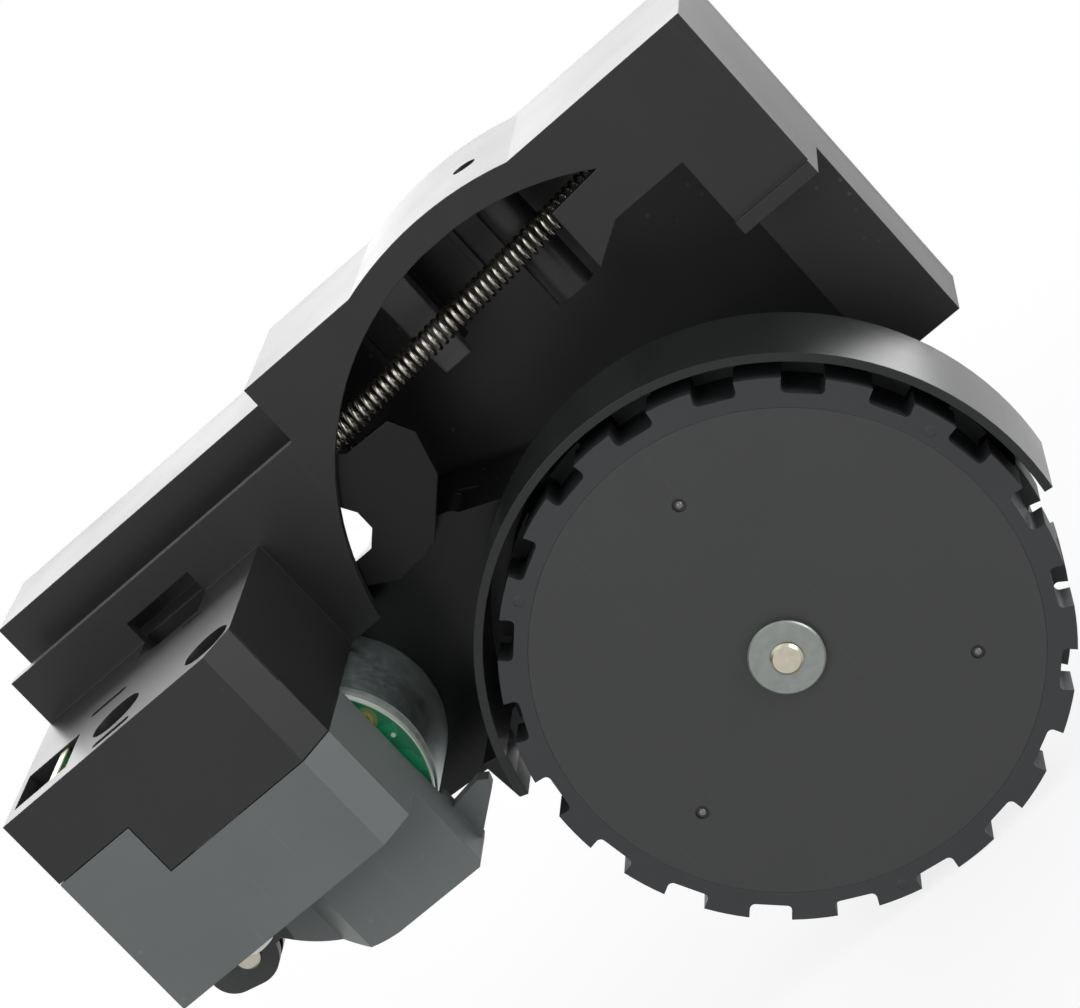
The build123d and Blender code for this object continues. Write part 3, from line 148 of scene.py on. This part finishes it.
class Finish(Graph):
    # One material: its Principled shader and its Object coordinates
    def __init__(self, name, colour, roughness, **fixed):
        self.material = bpy.data.materials.new(name)
        self.material.use_nodes = True
        super().__init__(self.material.node_tree)
        self.shader = self.tree.nodes["Principled BSDF"]
        self.shader.inputs["Base Color"].default_value = (*colour, 1)
        self.shader.inputs["Roughness"].default_value = roughness
        for socket, value in fixed.items():
            self.shader.inputs[socket.replace("_", " ")].default_value = value
        self.place = self.node("ShaderNodeTexCoord", output="Object")

    def noise(self, scale, detail=3, roughness=0.55, stretch=(1, 1, 1), turn=(0, 0, 0)):
        # cloudy values from 0 to 1; scale is in cells per metre
        point = self.place
        if stretch != (1, 1, 1) or turn != (0, 0, 0):
            point = self.node("ShaderNodeMapping", {},
                              {"Vector": self.place, "Scale": stretch, "Rotation": turn})
        return self.node("ShaderNodeTexNoise", {}, {"Vector": point, "Scale": scale, "Detail": detail,
                                                    "Roughness": roughness}, "Fac")

    def specks(self, scale, size, clumpShare=0.13):
        # 1 inside small dots that gather in loose clumps, 0 elsewhere
        distance = self.node("ShaderNodeTexVoronoi", {}, {"Vector": self.place, "Scale": scale}, "Distance")
        clumps = self.noise(scale * clumpShare, 1)
        return self.fade(distance, size, size * 0.5) * self.fade(clumps, 0.6, 0.66)

    def fade(self, value, start, end):
        # 0 at start, 1 at end, smooth between them
        return self.node("ShaderNodeMapRange", {"interpolation_type": "SMOOTHSTEP"},
                         {"Value": value, "From Min": start, "From Max": end})

    def mix(self, share, first, second):
        return self.node("ShaderNodeMix", {"data_type": "RGBA"}, {0: share, 6: first, 7: second}, 2)

    def axes(self):
        # the three coordinates, each by itself
        point = self.node("ShaderNodeSeparateXYZ", {}, {0: self.place})
        others = [Strand(self, point.socket.node.outputs[index]) for index in (1, 2)]
        return (point, *others)

    def around(self, centre, axis="Y"):
        # distance from a line along Y or Z through the centre, in metres
        flat = (1, 0, 1) if axis == "Y" else (1, 1, 0)
        moved = self.node("ShaderNodeVectorMath", {"operation": "SUBTRACT"}, {0: self.place, 1: centre})
        pressed = self.node("ShaderNodeVectorMath", {"operation": "MULTIPLY"}, {0: moved, 1: flat})
        return self.node("ShaderNodeVectorMath", {"operation": "LENGTH"}, {0: pressed}, "Value")

    def colour(self, value):
        self.feed(self.shader.inputs["Base Color"], value)

    def roughness(self, value):
        self.feed(self.shader.inputs["Roughness"], value)

    def relief(self, height, depth, edge=0.0):
        # depth is what a full step of height stands for and edge the radius that softens corners, in metres
        inputs = {"Height": height, "Distance": depth}
        if edge:
            inputs["Normal"] = self.node("ShaderNodeBevel", {"samples": 4}, {"Radius": edge})
        self.feed(self.shader.inputs["Normal"], self.node("ShaderNodeBump", {}, inputs, "Normal"))


def tone(colour, share):
    # the same colour, lighter or darker
    return tuple(min(1.0, part * share) for part in colour[:3]) + (1.0,)


def zone(finish, centre, inner, outer, front, back, soft=0.2):
    # 1 in a ring round a line along Y through the centre, between two depths; all in millimetres
    reach = finish.around((centre[0] * mm, 0.0, centre[1] * mm))
    depth = finish.axes()[1]
    ring = (finish.fade(reach, (inner - soft) * mm, inner * mm)
            * finish.fade(reach, outer * mm, (outer - soft) * mm))
    slab = (finish.fade(depth, (front - soft) * mm, front * mm)
            * finish.fade(depth, back * mm, (back - soft) * mm))
    return ring * slab


# What every moulded plastic has: clouds, hairline rubs and dust. Scales are in cells per metre
moulding = {
    "cloudScale": 45,
    "darkTone": 0.86,
    "lightTone": 1.16,
    "rubScale": 900,
    "rubStretch": (1, 0.06, 0.06),
    "rubTurn": (0.3, 0.6, 0.2),
    "rubRange": (0.66, 0.74),
    "rubTone": 1.9,
    "dustScale": 420,
    "dustSize": 0.16,
    "dustColour": (0.35, 0.35, 0.34),
    "cloudSheen": 0.12,
    "grainSheen": 0.05,
    "dustSheen": 0.3,
}


def mouldedPlastic(name, spec):
    # injection moulded plastic: fine spark-eroded grain, faint cloudiness, hairline rubs and dust
    finish = Finish(name, spec["colour"], spec["roughness"], Specular_IOR_Level=spec.get("gloss", 0.5))
    cloud = finish.noise(moulding["cloudScale"], 4)
    grain = finish.noise(spec["grainScale"], 2)
    rubs = finish.noise(moulding["rubScale"], 2, stretch=moulding["rubStretch"], turn=moulding["rubTurn"])
    rubMask = finish.fade(rubs, *moulding["rubRange"]) * spec.get("rubs", 0.3)
    dust = finish.specks(moulding["dustScale"], moulding["dustSize"]) * spec.get("dust", 0.3)
    base = finish.mix(cloud, tone(spec["colour"], moulding["darkTone"]),
                      tone(spec["colour"], moulding["lightTone"]))
    base = finish.mix(rubMask, base, tone(spec["colour"], moulding["rubTone"]))
    base = finish.mix(dust, base, (*moulding["dustColour"], 1))
    # each zone paints its colour over the rest; the zones below are painted shade and painted light
    for centre, inner, outer, front, back, colour in spec.get("zones", []):
        base = finish.mix(zone(finish, centre, inner, outer, front, back), base, (*colour, 1))
    finish.colour(base)
    finish.roughness(spec["roughness"] + (cloud - 0.5) * moulding["cloudSheen"]
                     + grain * moulding["grainSheen"] + dust * moulding["dustSheen"])
    finish.relief(grain + rubMask * 0.3, spec["grainDepth"] * mm, spec.get("edge", 0.2) * mm)
    return finish


# Plastics. Colours are linear, grain scales in cells per metre, depths and edges in millimetres. A zone is
# painted over the rest: its centre across and up, inner and outer radius, front and back depth, colour
plastics = {
    "housingPlastic": {
        "colour": (0.0155, 0.0162, 0.0158), "roughness": 0.33, "gloss": 0.3,
        "grainScale": 5200, "grainDepth": 0.005, "rubs": 0.2, "dust": 0.1,
    },
    "coverPlastic": {
        "colour": (0.096, 0.106, 0.105), "roughness": 0.4, "gloss": 0.4,
        "grainScale": 4600, "grainDepth": 0.008, "rubs": 0.08, "dust": 0.1,
        # painted shade: the pivot lobe round the pin darker, as it lies further back in shade
        "zones": [((-30.9, -36.9), 0.0, 8.0, 11.0, 14.0, (0.022, 0.0245, 0.024))],
    },
    "armPlastic": {
        # a deeper black than the housing's, partly its own black and partly painted shade for the arm's
        # shaded place
        "colour": (0.0035, 0.0038, 0.0038), "roughness": 0.22, "gloss": 0.22,
        "grainScale": 5200, "grainDepth": 0.003, "rubs": 0.2, "dust": 0.1,
        # painted light: the fender band's outer face lighter than the rest of the arm, standing in for the
        # light it catches
        "zones": [(axle, 37.8, 39.3, 9.0, 28.5, (0.017, 0.0185, 0.0185))],
    },
    "wheelPlastic": {
        "colour": (0.0275, 0.0285, 0.0283), "roughness": 0.44, "gloss": 0.4,
        "grainScale": 4200, "grainDepth": 0.008, "rubs": 0.12, "dust": 0.0,
    },
    "padPlastic": {
        # painted light: a lighter grey than the housing's black, for the light falling on the pad
        "colour": (0.062, 0.065, 0.063), "roughness": 0.36, "gloss": 0.4,
        "grainScale": 5200, "grainDepth": 0.005, "rubs": 0.1, "dust": 0.0,
    },
    "pointPlastic": {
        "colour": (0.1, 0.1, 0.095), "roughness": 0.22, "gloss": 0.7,
        "grainScale": 4200, "grainDepth": 0.002, "rubs": 0.0, "dust": 0.0, "edge": 0.02,
    },
    "gearPlastic": {
        "colour": (0.72, 0.70, 0.62), "roughness": 0.4,
        "grainScale": 4000, "grainDepth": 0.004, "rubs": 0.0, "dust": 0.0,
    },
    "switchPlastic": {
        "colour": (0.03, 0.03, 0.031), "roughness": 0.4,
        "grainScale": 5000, "grainDepth": 0.004,
    },
    "plungerPlastic": {
        "colour": (0.55, 0.06, 0.05), "roughness": 0.38,
        "grainScale": 5000, "grainDepth": 0.004, "dust": 0.0,
    },
}
finishes = {name: mouldedPlastic(name, spec) for name, spec in plastics.items()}


def treadRubber():
    # soft rubber: dull, slightly blue, with a fine skin, faint clouds and three small moulded pips
    spec = {
        "colour": (0.0185, 0.0212, 0.0228), "roughness": 0.52, "gloss": 0.42,
        "pips": [(82.82, 9.3, -39.75), (30.16, 9.3, -23.2), (41.42, 9.3, -83.46)],
        "pipRadius": 0.8, "pipHeight": 0.12, "edge": 0.15,
    }
    finish = Finish("treadRubber", spec["colour"], spec["roughness"], Specular_IOR_Level=spec["gloss"])
    skin = finish.noise(3800, 3)
    cloud = finish.noise(70, 3)
    base = finish.mix(cloud, tone(spec["colour"], 0.86), tone(spec["colour"], 1.2))
    pips = 0.0
    for centre in spec["pips"]:
        reach = finish.around(tuple(part * mm for part in centre))
        pips = finish.fade(reach, spec["pipRadius"] * mm, 0.6 * spec["pipRadius"] * mm) + pips
    finish.colour(base)
    finish.roughness(spec["roughness"] + skin * 0.14)
    finish.relief(skin * 0.1 + pips, spec["pipHeight"] * mm, spec["edge"] * mm)
    return finish


def plainMetal(name, colour, roughness, scale=900, blotch=0.2, depth=0.004, sheen=0.25):
    # turned or plated metal with fine pits and a mottled sheen
    finish = Finish(name, colour, roughness, Metallic=1.0)
    fine = finish.noise(scale * 4, 3)
    cloud = finish.noise(scale, 3)
    finish.colour(finish.mix(cloud, tone(colour, 1 - blotch), tone(colour, 1 + blotch)))
    finish.roughness(roughness + (cloud - 0.5) * sheen + fine * 0.06)
    finish.relief(fine, depth * mm)
    return finish


def laminate(name, spec):
    # glass-fibre board: green lacquer over faint tracks, round pads and a pale cut edge
    finish = Finish(name, spec["colour"], 0.34, Coat_Weight=0.3, Coat_Roughness=0.2)
    weave = finish.noise(2600, 2)
    tracks = finish.noise(260, 1)
    lines = finish.fade(tracks, 0.5, 0.53) * 0.55
    base = finish.mix(lines, tone(spec["colour"], 0.75), tone(spec["colour"], 1.25))
    for centre, radius, colour in spec["rounds"]:
        reach = finish.around(tuple(part * mm for part in centre))
        inside = finish.fade(reach, (radius + padBlur) * mm, (radius - padBlur) * mm)
        base = finish.mix(inside, base, (*colour, 1))
    if "rim" in spec:
        reach = finish.around(tuple(part * mm for part in spec["centre"]))
        edge = finish.fade(reach, spec["rim"] * mm, (spec["rim"] + 0.15) * mm)
    else:
        edge = finish.fade(finish.axes()[2], (spec["top"] - 0.05) * mm, spec["top"] * mm)
    finish.colour(finish.mix(edge, base, (*spec["edgeColour"], 1)))
    finish.roughness(0.3 + weave * 0.12)
    finish.relief(lines + weave * 0.2, 0.02 * mm)
    return finish


# Boards. The pale edge starts at a radius, rim, round the centre, or at a height, top; a round has its
# centre, radius and colour, and a later one lies over an earlier one
solder = (0.62, 0.64, 0.6)
padBlur = 0.06
boards = {
    "encoderLaminate": {
        "colour": (0.004, 0.22, 0.085), "edgeColour": (0.62, 0.68, 0.6),
        "centre": (motor[0], 15, motor[1]), "rim": 13.55,
        "rounds": [
            ((3.18, 14, -23.3), 1.75, (0.16, 0.22, 0.06)),
            ((3.18, 14, -23.3), 1.2, (0.34, 0.31, 0.09)),
            # painted shade: a dark round for the shade inside the pad's mounting hole
            ((3.18, 14, -23.3), 0.7, (0.01, 0.03, 0.015)),
            ((4.7, 14, -27.2), 0.32, solder),
            ((2.1, 14, -19.9), 0.28, solder),
            ((-1.5, 14, -17.4), 0.3, solder),
            ((-14.0, 14, -35.0), 0.9, solder),
            ((-17.0, 14, -30.5), 0.9, solder),
            ((-17.2, 14, -25.5), 0.9, solder),
        ],
    },
    "plugLaminate": {
        "colour": (0.03, 0.20, 0.06), "edgeColour": (0.7, 0.68, 0.5),
        "top": -0.5, "rounds": [],
    },
}
for boardName, boardSpec in boards.items():
    finishes[boardName] = laminate(boardName, boardSpec)
finishes["treadRubber"] = treadRubber()
for metalName, metalColour, metalRoughness in [
    ("pinSteel", (0.45, 0.43, 0.36), 0.28),
    ("axleSteel", (0.5, 0.47, 0.38), 0.26),
    ("washerSteel", (0.24, 0.255, 0.24), 0.4),
    ("screwSteel", (0.5, 0.5, 0.5), 0.3),
    ("springSteel", (0.36, 0.34, 0.3), 0.24),
    ("canSteel", (0.72, 0.72, 0.71), 0.2),
    ("sinteredBronze", (0.55, 0.38, 0.2), 0.45),
    ("goldPlating", (0.8, 0.58, 0.22), 0.22),
    ("magnetFinish", (0.22, 0.22, 0.23), 0.4),
    ("fluxRingFinish", (0.43, 0.475, 0.47), 0.44),
]:
    finishes[metalName] = plainMetal(metalName, metalColour, metalRoughness)

nodeFinish = {
    "housingPlastic": ["housing", "rear_cover"],
    "coverPlastic": ["lower_cover"],
    "armPlastic": ["gear_case", "gear_case_cover"],
    "wheelPlastic": ["wheel_disc"],
    "gearPlastic": ["gear_one", "gear_two", "output_gear"],
    "switchPlastic": ["drop_switch", "motor_end_cap"],
    "plungerPlastic": ["switch_plunger"],
    "treadRubber": ["tyre"],
    "pinSteel": ["pivot_pin", "gear_one_shaft", "gear_two_shaft", "motor_shaft"],
    "axleSteel": ["wheel_axle"],
    "washerSteel": ["axle_washer"],
    "screwSteel": ["cover_screws", "rear_screws", "case_screws", "motor_screws", "pin_clip"],
    "canSteel": ["motor_can"],
    "fluxRingFinish": ["flux_ring"],
    "sinteredBronze": ["front_bush", "rear_bush", "motor_pinion"],
    "goldPlating": ["contact_strips"],
    "magnetFinish": ["encoder_magnet"],
    "encoderLaminate": ["encoder_board"],
    "plugLaminate": ["connector_board"],
}
for finishName, nodeNames in nodeFinish.items():
    for nodeName in nodeNames:
        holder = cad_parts[nodeName]
        holder.data.materials.clear()
        holder.data.materials.append(finishes[finishName].material)
print("finishes set on", sum(len(names) for names in nodeFinish.values()), "nodes")


# Extension spring: a round wire along a close helix, with a turned hook at each end
spring = {
    "armPeg": (15.2, 36.0, 2.8),
    "housingPeg": (76.2, 36.0, 7.5),
    "coilRadius": 1.65,
    "wireRadius": 0.28,
    "pitch": 1.12,
    "lead": 3.4,
    "hookRadius": 1.4,
    "stepsPerTurn": 22,
    "wireSides": 8,
    "hookSweep": 320,
    "hookSteps": 26,
    "swell": 0.5,
}


def springPath(spec):
    # Along the line between the pegs at height u: a hook is an arc round its peg, the body turns round the
    # line at coilRadius while u grows by one pitch a turn, and the radius swells from 0 over the first half
    # turn and shrinks over the last
    first, last = np.array(spec["armPeg"]), np.array(spec["housingPeg"])
    span = np.linalg.norm(last - first)
    ahead = (last - first) / span
    side = np.array([0.0, -1.0, 0.0])
    rise = np.cross(side, ahead)
    body = span - 2 * spec["lead"]
    turns = round(body / spec["pitch"])
    turn = np.linspace(0, turns, turns * spec["stepsPerTurn"] + 1)
    swell = np.clip(np.minimum(turn, turns - turn) / spec["swell"], 0, 1)
    swell = swell * swell * (3 - 2 * swell)
    height = spec["lead"] + body * turn / turns
    spread = spec["coilRadius"] * swell
    angle = 2 * np.pi * turn
    coil = (first + np.outer(height, ahead) + (spread * np.cos(angle))[:, None] * side
            + (spread * np.sin(angle))[:, None] * rise)
    sweep = np.radians(np.linspace(spec["hookSweep"], 0, spec["hookSteps"]))
    reach = spec["hookRadius"]
    hook = np.outer(reach * np.cos(sweep), ahead) + np.outer(reach * np.sin(sweep), rise)
    return np.vstack([first + hook, coil, last - hook[::-1]])


def wireAlong(path, radius, sides, steady=(0.31, 0.87, -0.38)):
    # A point is the path's point plus radius times the cosine of its angle along across and the sine along
    # over: across is at right angles to the way ahead and to steady, and over to both
    ahead = np.gradient(path, axis=0)
    ahead /= np.linalg.norm(ahead, axis=1)[:, None]
    across = np.cross(ahead, np.array(steady))
    across /= np.linalg.norm(across, axis=1)[:, None]
    over = np.cross(ahead, across)
    around = 2 * np.pi * np.arange(sides) / sides
    rings = (path[:, None] + radius * (np.cos(around)[None, :, None] * across[:, None]
                                       + np.sin(around)[None, :, None] * over[:, None]))
    count = len(path)
    ring, spoke = np.meshgrid(np.arange(count - 1), np.arange(sides), indexing="ij")
    after = (spoke + 1) % sides
    quads = np.stack([ring * sides + spoke, ring * sides + after, (ring + 1) * sides + after,
                      (ring + 1) * sides + spoke], axis=-1).reshape(-1, 4)
    caps = [list(range(sides))[::-1], list(range((count - 1) * sides, count * sides))]
    return rings.reshape(-1, 3), quads.tolist() + caps


def meshPiece(name, points, faces, finishName, smooth=True):
    mesh = bpy.data.meshes.new(name)
    mesh.from_pydata((points * mm).tolist(), [], faces)
    mesh.polygons.foreach_set("use_smooth", [smooth] * len(mesh.polygons))
    mesh.materials.append(finishes[finishName].material)
    mesh.update()
    piece = bpy.data.objects.new(name, mesh)
    bpy.context.scene.collection.objects.link(piece)
    return piece


def outward(piece, near=1e-7):
    # points that coincide are joined and the faces turned to point outwards
    shape = bmesh.new()
    shape.from_mesh(piece.data)
    bmesh.ops.remove_doubles(shape, verts=shape.verts, dist=near)
    bmesh.ops.recalc_face_normals(shape, faces=shape.faces)
    shape.to_mesh(piece.data)
    shape.free()


coilPoints, coilFaces = wireAlong(springPath(spring), spring["wireRadius"], spring["wireSides"])
coil = meshPiece("springCoil", coilPoints, coilFaces, "springSteel")
outward(coil)
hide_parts("tension_spring")
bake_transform(coil)
print("spring made:", len(coil.data.polygons), "faces")


# Copies of CAD nodes: decimals kept, the least way that counts as moved and the least area that is kept
copying = {
    "decimals": 5,
    "leastWay": 1e-5,
    "leastArea": 1e-6,
}


def reshaped(name, nodeName, finishName, change):
    # A merged copy of a CAD node with its points moved by change. A face with a moved point takes its own
    # flat normal, the others keep theirs, and faces left with no area are dropped
    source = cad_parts[nodeName].data
    points = np.empty(len(source.vertices) * 3)
    source.vertices.foreach_get("co", points)
    points = points.reshape(-1, 3) / mm
    corners = np.empty(len(source.loops), dtype=int)
    source.loops.foreach_get("vertex_index", corners)
    normals = np.empty(len(source.loops) * 3)
    source.corner_normals.foreach_get("vector", normals)
    placed = change(points.copy())
    moved = np.abs(placed - points).max(axis=1) > copying["leastWay"]
    merged, index = np.unique(np.round(placed, copying["decimals"]), axis=0, return_inverse=True)
    faces = corners.reshape(-1, 3)
    first, second, third = (placed[faces[:, corner]] for corner in range(3))
    across = np.cross(second - first, third - first)
    area = np.linalg.norm(across, axis=1)
    kept = area > copying["leastArea"]
    normals = normals.reshape(-1, 3, 3)
    touched = moved[faces].any(axis=1) & kept
    normals[touched] = (across[touched] / area[touched, None])[:, None]
    piece = meshPiece(name, merged, index.reshape(-1)[faces[kept]].tolist(), finishName)
    piece.data.normals_split_custom_set(normals[kept].reshape(-1, 3).tolist())
    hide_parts(nodeName)
    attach(piece, "module")
    print(name + ":", int(moved.sum()), "points moved")


# The housing with flat block walls: the boss round its locating bore would stand proud of them
shell = {
    "bossRadius": 4.75,
    "wall": 4.2,
    "chamfer": 5.6,
}


def flatWalls(points):
    # A point of the boss with x over wall, or with x - y over chamfer, goes straight back to that plane
    boss = np.hypot(points[:, 0], points[:, 1]) < shell["bossRadius"]
    points[boss, 0] = np.minimum(points[boss, 0], shell["wall"])
    over = np.where(boss, np.maximum(points[:, 0] - points[:, 1] - shell["chamfer"], 0) / 2, 0)
    points[:, 0] -= over
    points[:, 1] += over
    return points


reshaped("housingShell", "housing", "housingPlastic", flatWalls)

# The connector board, its free end nearer the slot's mouth as the photograph shows it
plug = {
    "above": -12.0,
    "rise": 0.85,
}


def raised(points):
    # A point with its height over above goes up by rise
    points[points[:, 2] > plug["above"], 2] += plug["rise"]
    return points


reshaped("plugBoard", "connector_board", "plugLaminate", raised)
reshaped("plugStrips", "contact_strips", "goldPlating", raised)

# Flat pad on the front of the post under the roof, seen behind the spring
postPad = {
    "left": 33.9,
    "right": 39.3,
    "low": -1.6,
    "high": 14.6,
    "front": 43.6,
    "back": 46.9,
    "draft": 0.5,
    "edge": 0.35,
    "edgeSteps": 3,
}


def makePad(spec):
    # A bar that narrows downwards by its draft at both sides and at the front, its edges rounded
    sides = [spec["left"], spec["right"]]
    depths = [spec["front"], spec["back"]]
    levels = [(spec["low"], spec["draft"]), (spec["high"], 0.0)]
    points = [(sides[across] + (1 - 2 * across) * draft, depths[deep] + (1 - deep) * draft, level)
              for level, draft in levels for across, deep in ((0, 0), (1, 0), (1, 1), (0, 1))]
    faces = [(3, 2, 1, 0), (4, 5, 6, 7)]
    faces += [(side, (side + 1) % 4, (side + 1) % 4 + 4, side + 4) for side in range(4)]
    pad = meshPiece("postPad", np.array(points), faces, "padPlastic", False)
    bevel = pad.modifiers.new("edges", "BEVEL")
    bevel.width = spec["edge"] * mm
    bevel.segments = spec["edgeSteps"]
    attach(pad, "module")


makePad(postPad)

# Small moulded points in the disc's three dimples
discPoints = {
    "centre": axle,
    "ring": 23.7,
    "angles": (83.0, -39.8, -157.3),
    "floor": 9.7,
    "height": 0.6,
    "radius": 0.58,
    "rings": 7,
    "sides": 20,
    "tip": 0.12,
}


def makePoints(spec):
    # Each is half an ellipsoid: at turn t from its tip, it is radius * sin t wide and height * cos t high
    rings, sides = spec["rings"], spec["sides"]
    turn = np.linspace(spec["tip"], np.pi / 2, rings)[:, None]
    around = (2 * np.pi * np.arange(sides) / sides)[None, :]
    width = spec["radius"] * np.sin(turn)
    height = np.repeat(-spec["height"] * np.cos(turn), sides, axis=1)
    dome = np.stack([width * np.cos(around), height, width * np.sin(around)], axis=-1).reshape(-1, 3)
    ring, side = np.meshgrid(np.arange(rings - 1), np.arange(sides), indexing="ij")
    after = (side + 1) % sides
    quads = np.stack([ring * sides + side, ring * sides + after, (ring + 1) * sides + after,
                      (ring + 1) * sides + side], axis=-1).reshape(-1, 4)
    places = []
    faces = []
    for number, angle in enumerate(np.radians(spec["angles"])):
        places.append(dome + (spec["centre"][0] + spec["ring"] * np.cos(angle), spec["floor"],
                              spec["centre"][1] + spec["ring"] * np.sin(angle)))
        first = number * rings * sides
        faces += (quads + first).tolist() + [list(range(first, first + sides))]
    piece = meshPiece("discPoints", np.vstack(places), faces, "pointPlastic")
    outward(piece)
    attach(piece, "wheel")


makePoints(discPoints)
print("pad and disc points made")

# Stage: floor, world and lamps, in metres and watts
stage = {
    "floorSize": 6.0,
    "floorColour": (0.86, 0.86, 0.86),
    "floorRoughness": 0.8,
    "floorGap": 0.0002,
    "floorCentre": (0.03, 0.0, 0.0),
    "cameraShare": 0.82,
    "shadowStart": 0.12,
    "shadowReach": 0.4,
    "worldLevel": 0.42,
}


def makeFloor(spec):
    # The camera sees mostly plain white, with a share of the shaded floor that ends away from the object
    level = cadBox[0].z - spec["floorGap"]
    reach = spec["floorSize"]
    ends = ((-reach, -reach), (reach, -reach), (reach, reach), (-reach, reach))
    corners = [(*end, level) for end in ends]
    mesh = bpy.data.meshes.new("floor")
    mesh.from_pydata(corners, [], [(0, 1, 2, 3)])
    floor = bpy.data.objects.new("floor", mesh)
    bpy.context.scene.collection.objects.link(floor)
    finish = Finish("floorPaint", spec["floorColour"], spec["floorRoughness"])
    seen = finish.node("ShaderNodeLightPath", output="Is Camera Ray")
    mirrored = finish.node("ShaderNodeLightPath", output="Is Glossy Ray")
    glow = finish.node("ShaderNodeEmission", {}, {"Color": (1, 1, 1, 1), "Strength": 1.0})
    distance = finish.around(spec["floorCentre"], "Z")
    far = finish.fade(distance, spec["shadowStart"], spec["shadowReach"]) * (1 - spec["cameraShare"])
    share = seen * (far + spec["cameraShare"]) + mirrored
    paint = Strand(finish, finish.shader.outputs[0])
    blend = finish.node("ShaderNodeMixShader", {}, {0: share, 1: paint, 2: glow})
    finish.tree.links.new(blend.socket, finish.tree.nodes["Material Output"].inputs["Surface"])
    mesh.materials.append(finish.material)


def makeWorld(spec):
    # White to the camera and in reflections, and worldLevel as a light
    world = bpy.data.worlds.new("studio")
    bpy.context.scene.world = world
    world.use_nodes = True
    graph = Graph(world.node_tree)
    background = graph.tree.nodes["Background"]
    background.inputs["Color"].default_value = (1, 1, 1, 1)
    white = graph.node("ShaderNodeLightPath", output="Is Camera Ray")
    for ray in ("Is Glossy Ray", "Is Transmission Ray"):
        seen = graph.node("ShaderNodeLightPath", output=ray)
        white = graph.node("ShaderNodeMath", {"operation": "MAXIMUM"}, {0: white, 1: seen})
    graph.feed(background.inputs["Strength"], white * (1 - spec["worldLevel"]) + spec["worldLevel"])


lamps = {
    "keyLamp": {"at": (-0.25, -0.75, 0.45), "size": (0.5, 0.5), "power": 3.2},
    "sideLamp": {"at": (0.8, -0.12, 0.14), "size": (0.45, 0.4), "power": 3.6},
    "topLamp": {"at": (0.1, 0.05, 0.9), "size": (0.7, 0.7), "power": 0.9},
    "backLamp": {"at": (0.03, 0.95, 0.22), "size": (1.5, 0.9), "power": 11.0},
}


def makeLamp(name, spec):
    # A soft rectangle that faces the object's middle and is hidden from the camera
    data = bpy.data.lights.new(name, "AREA")
    data.shape = "RECTANGLE"
    data.size, data.size_y = spec["size"]
    data.energy = spec["power"]
    lamp = bpy.data.objects.new(name, data)
    spot = Vector(spec["at"])
    aim = (cadBox[0] + cadBox[1]) / 2 - spot
    lamp.location = spot
    lamp.rotation_mode = "QUATERNION"
    lamp.rotation_quaternion = aim.to_track_quat("-Z", "Y")
    lamp.visible_camera = False
    bpy.context.scene.collection.objects.link(lamp)


makeFloor(stage)
makeWorld(stage)
for lampName, lampSpec in lamps.items():
    makeLamp(lampName, lampSpec)
bpy.context.scene.view_settings.view_transform = "Standard"
print("stage ready")
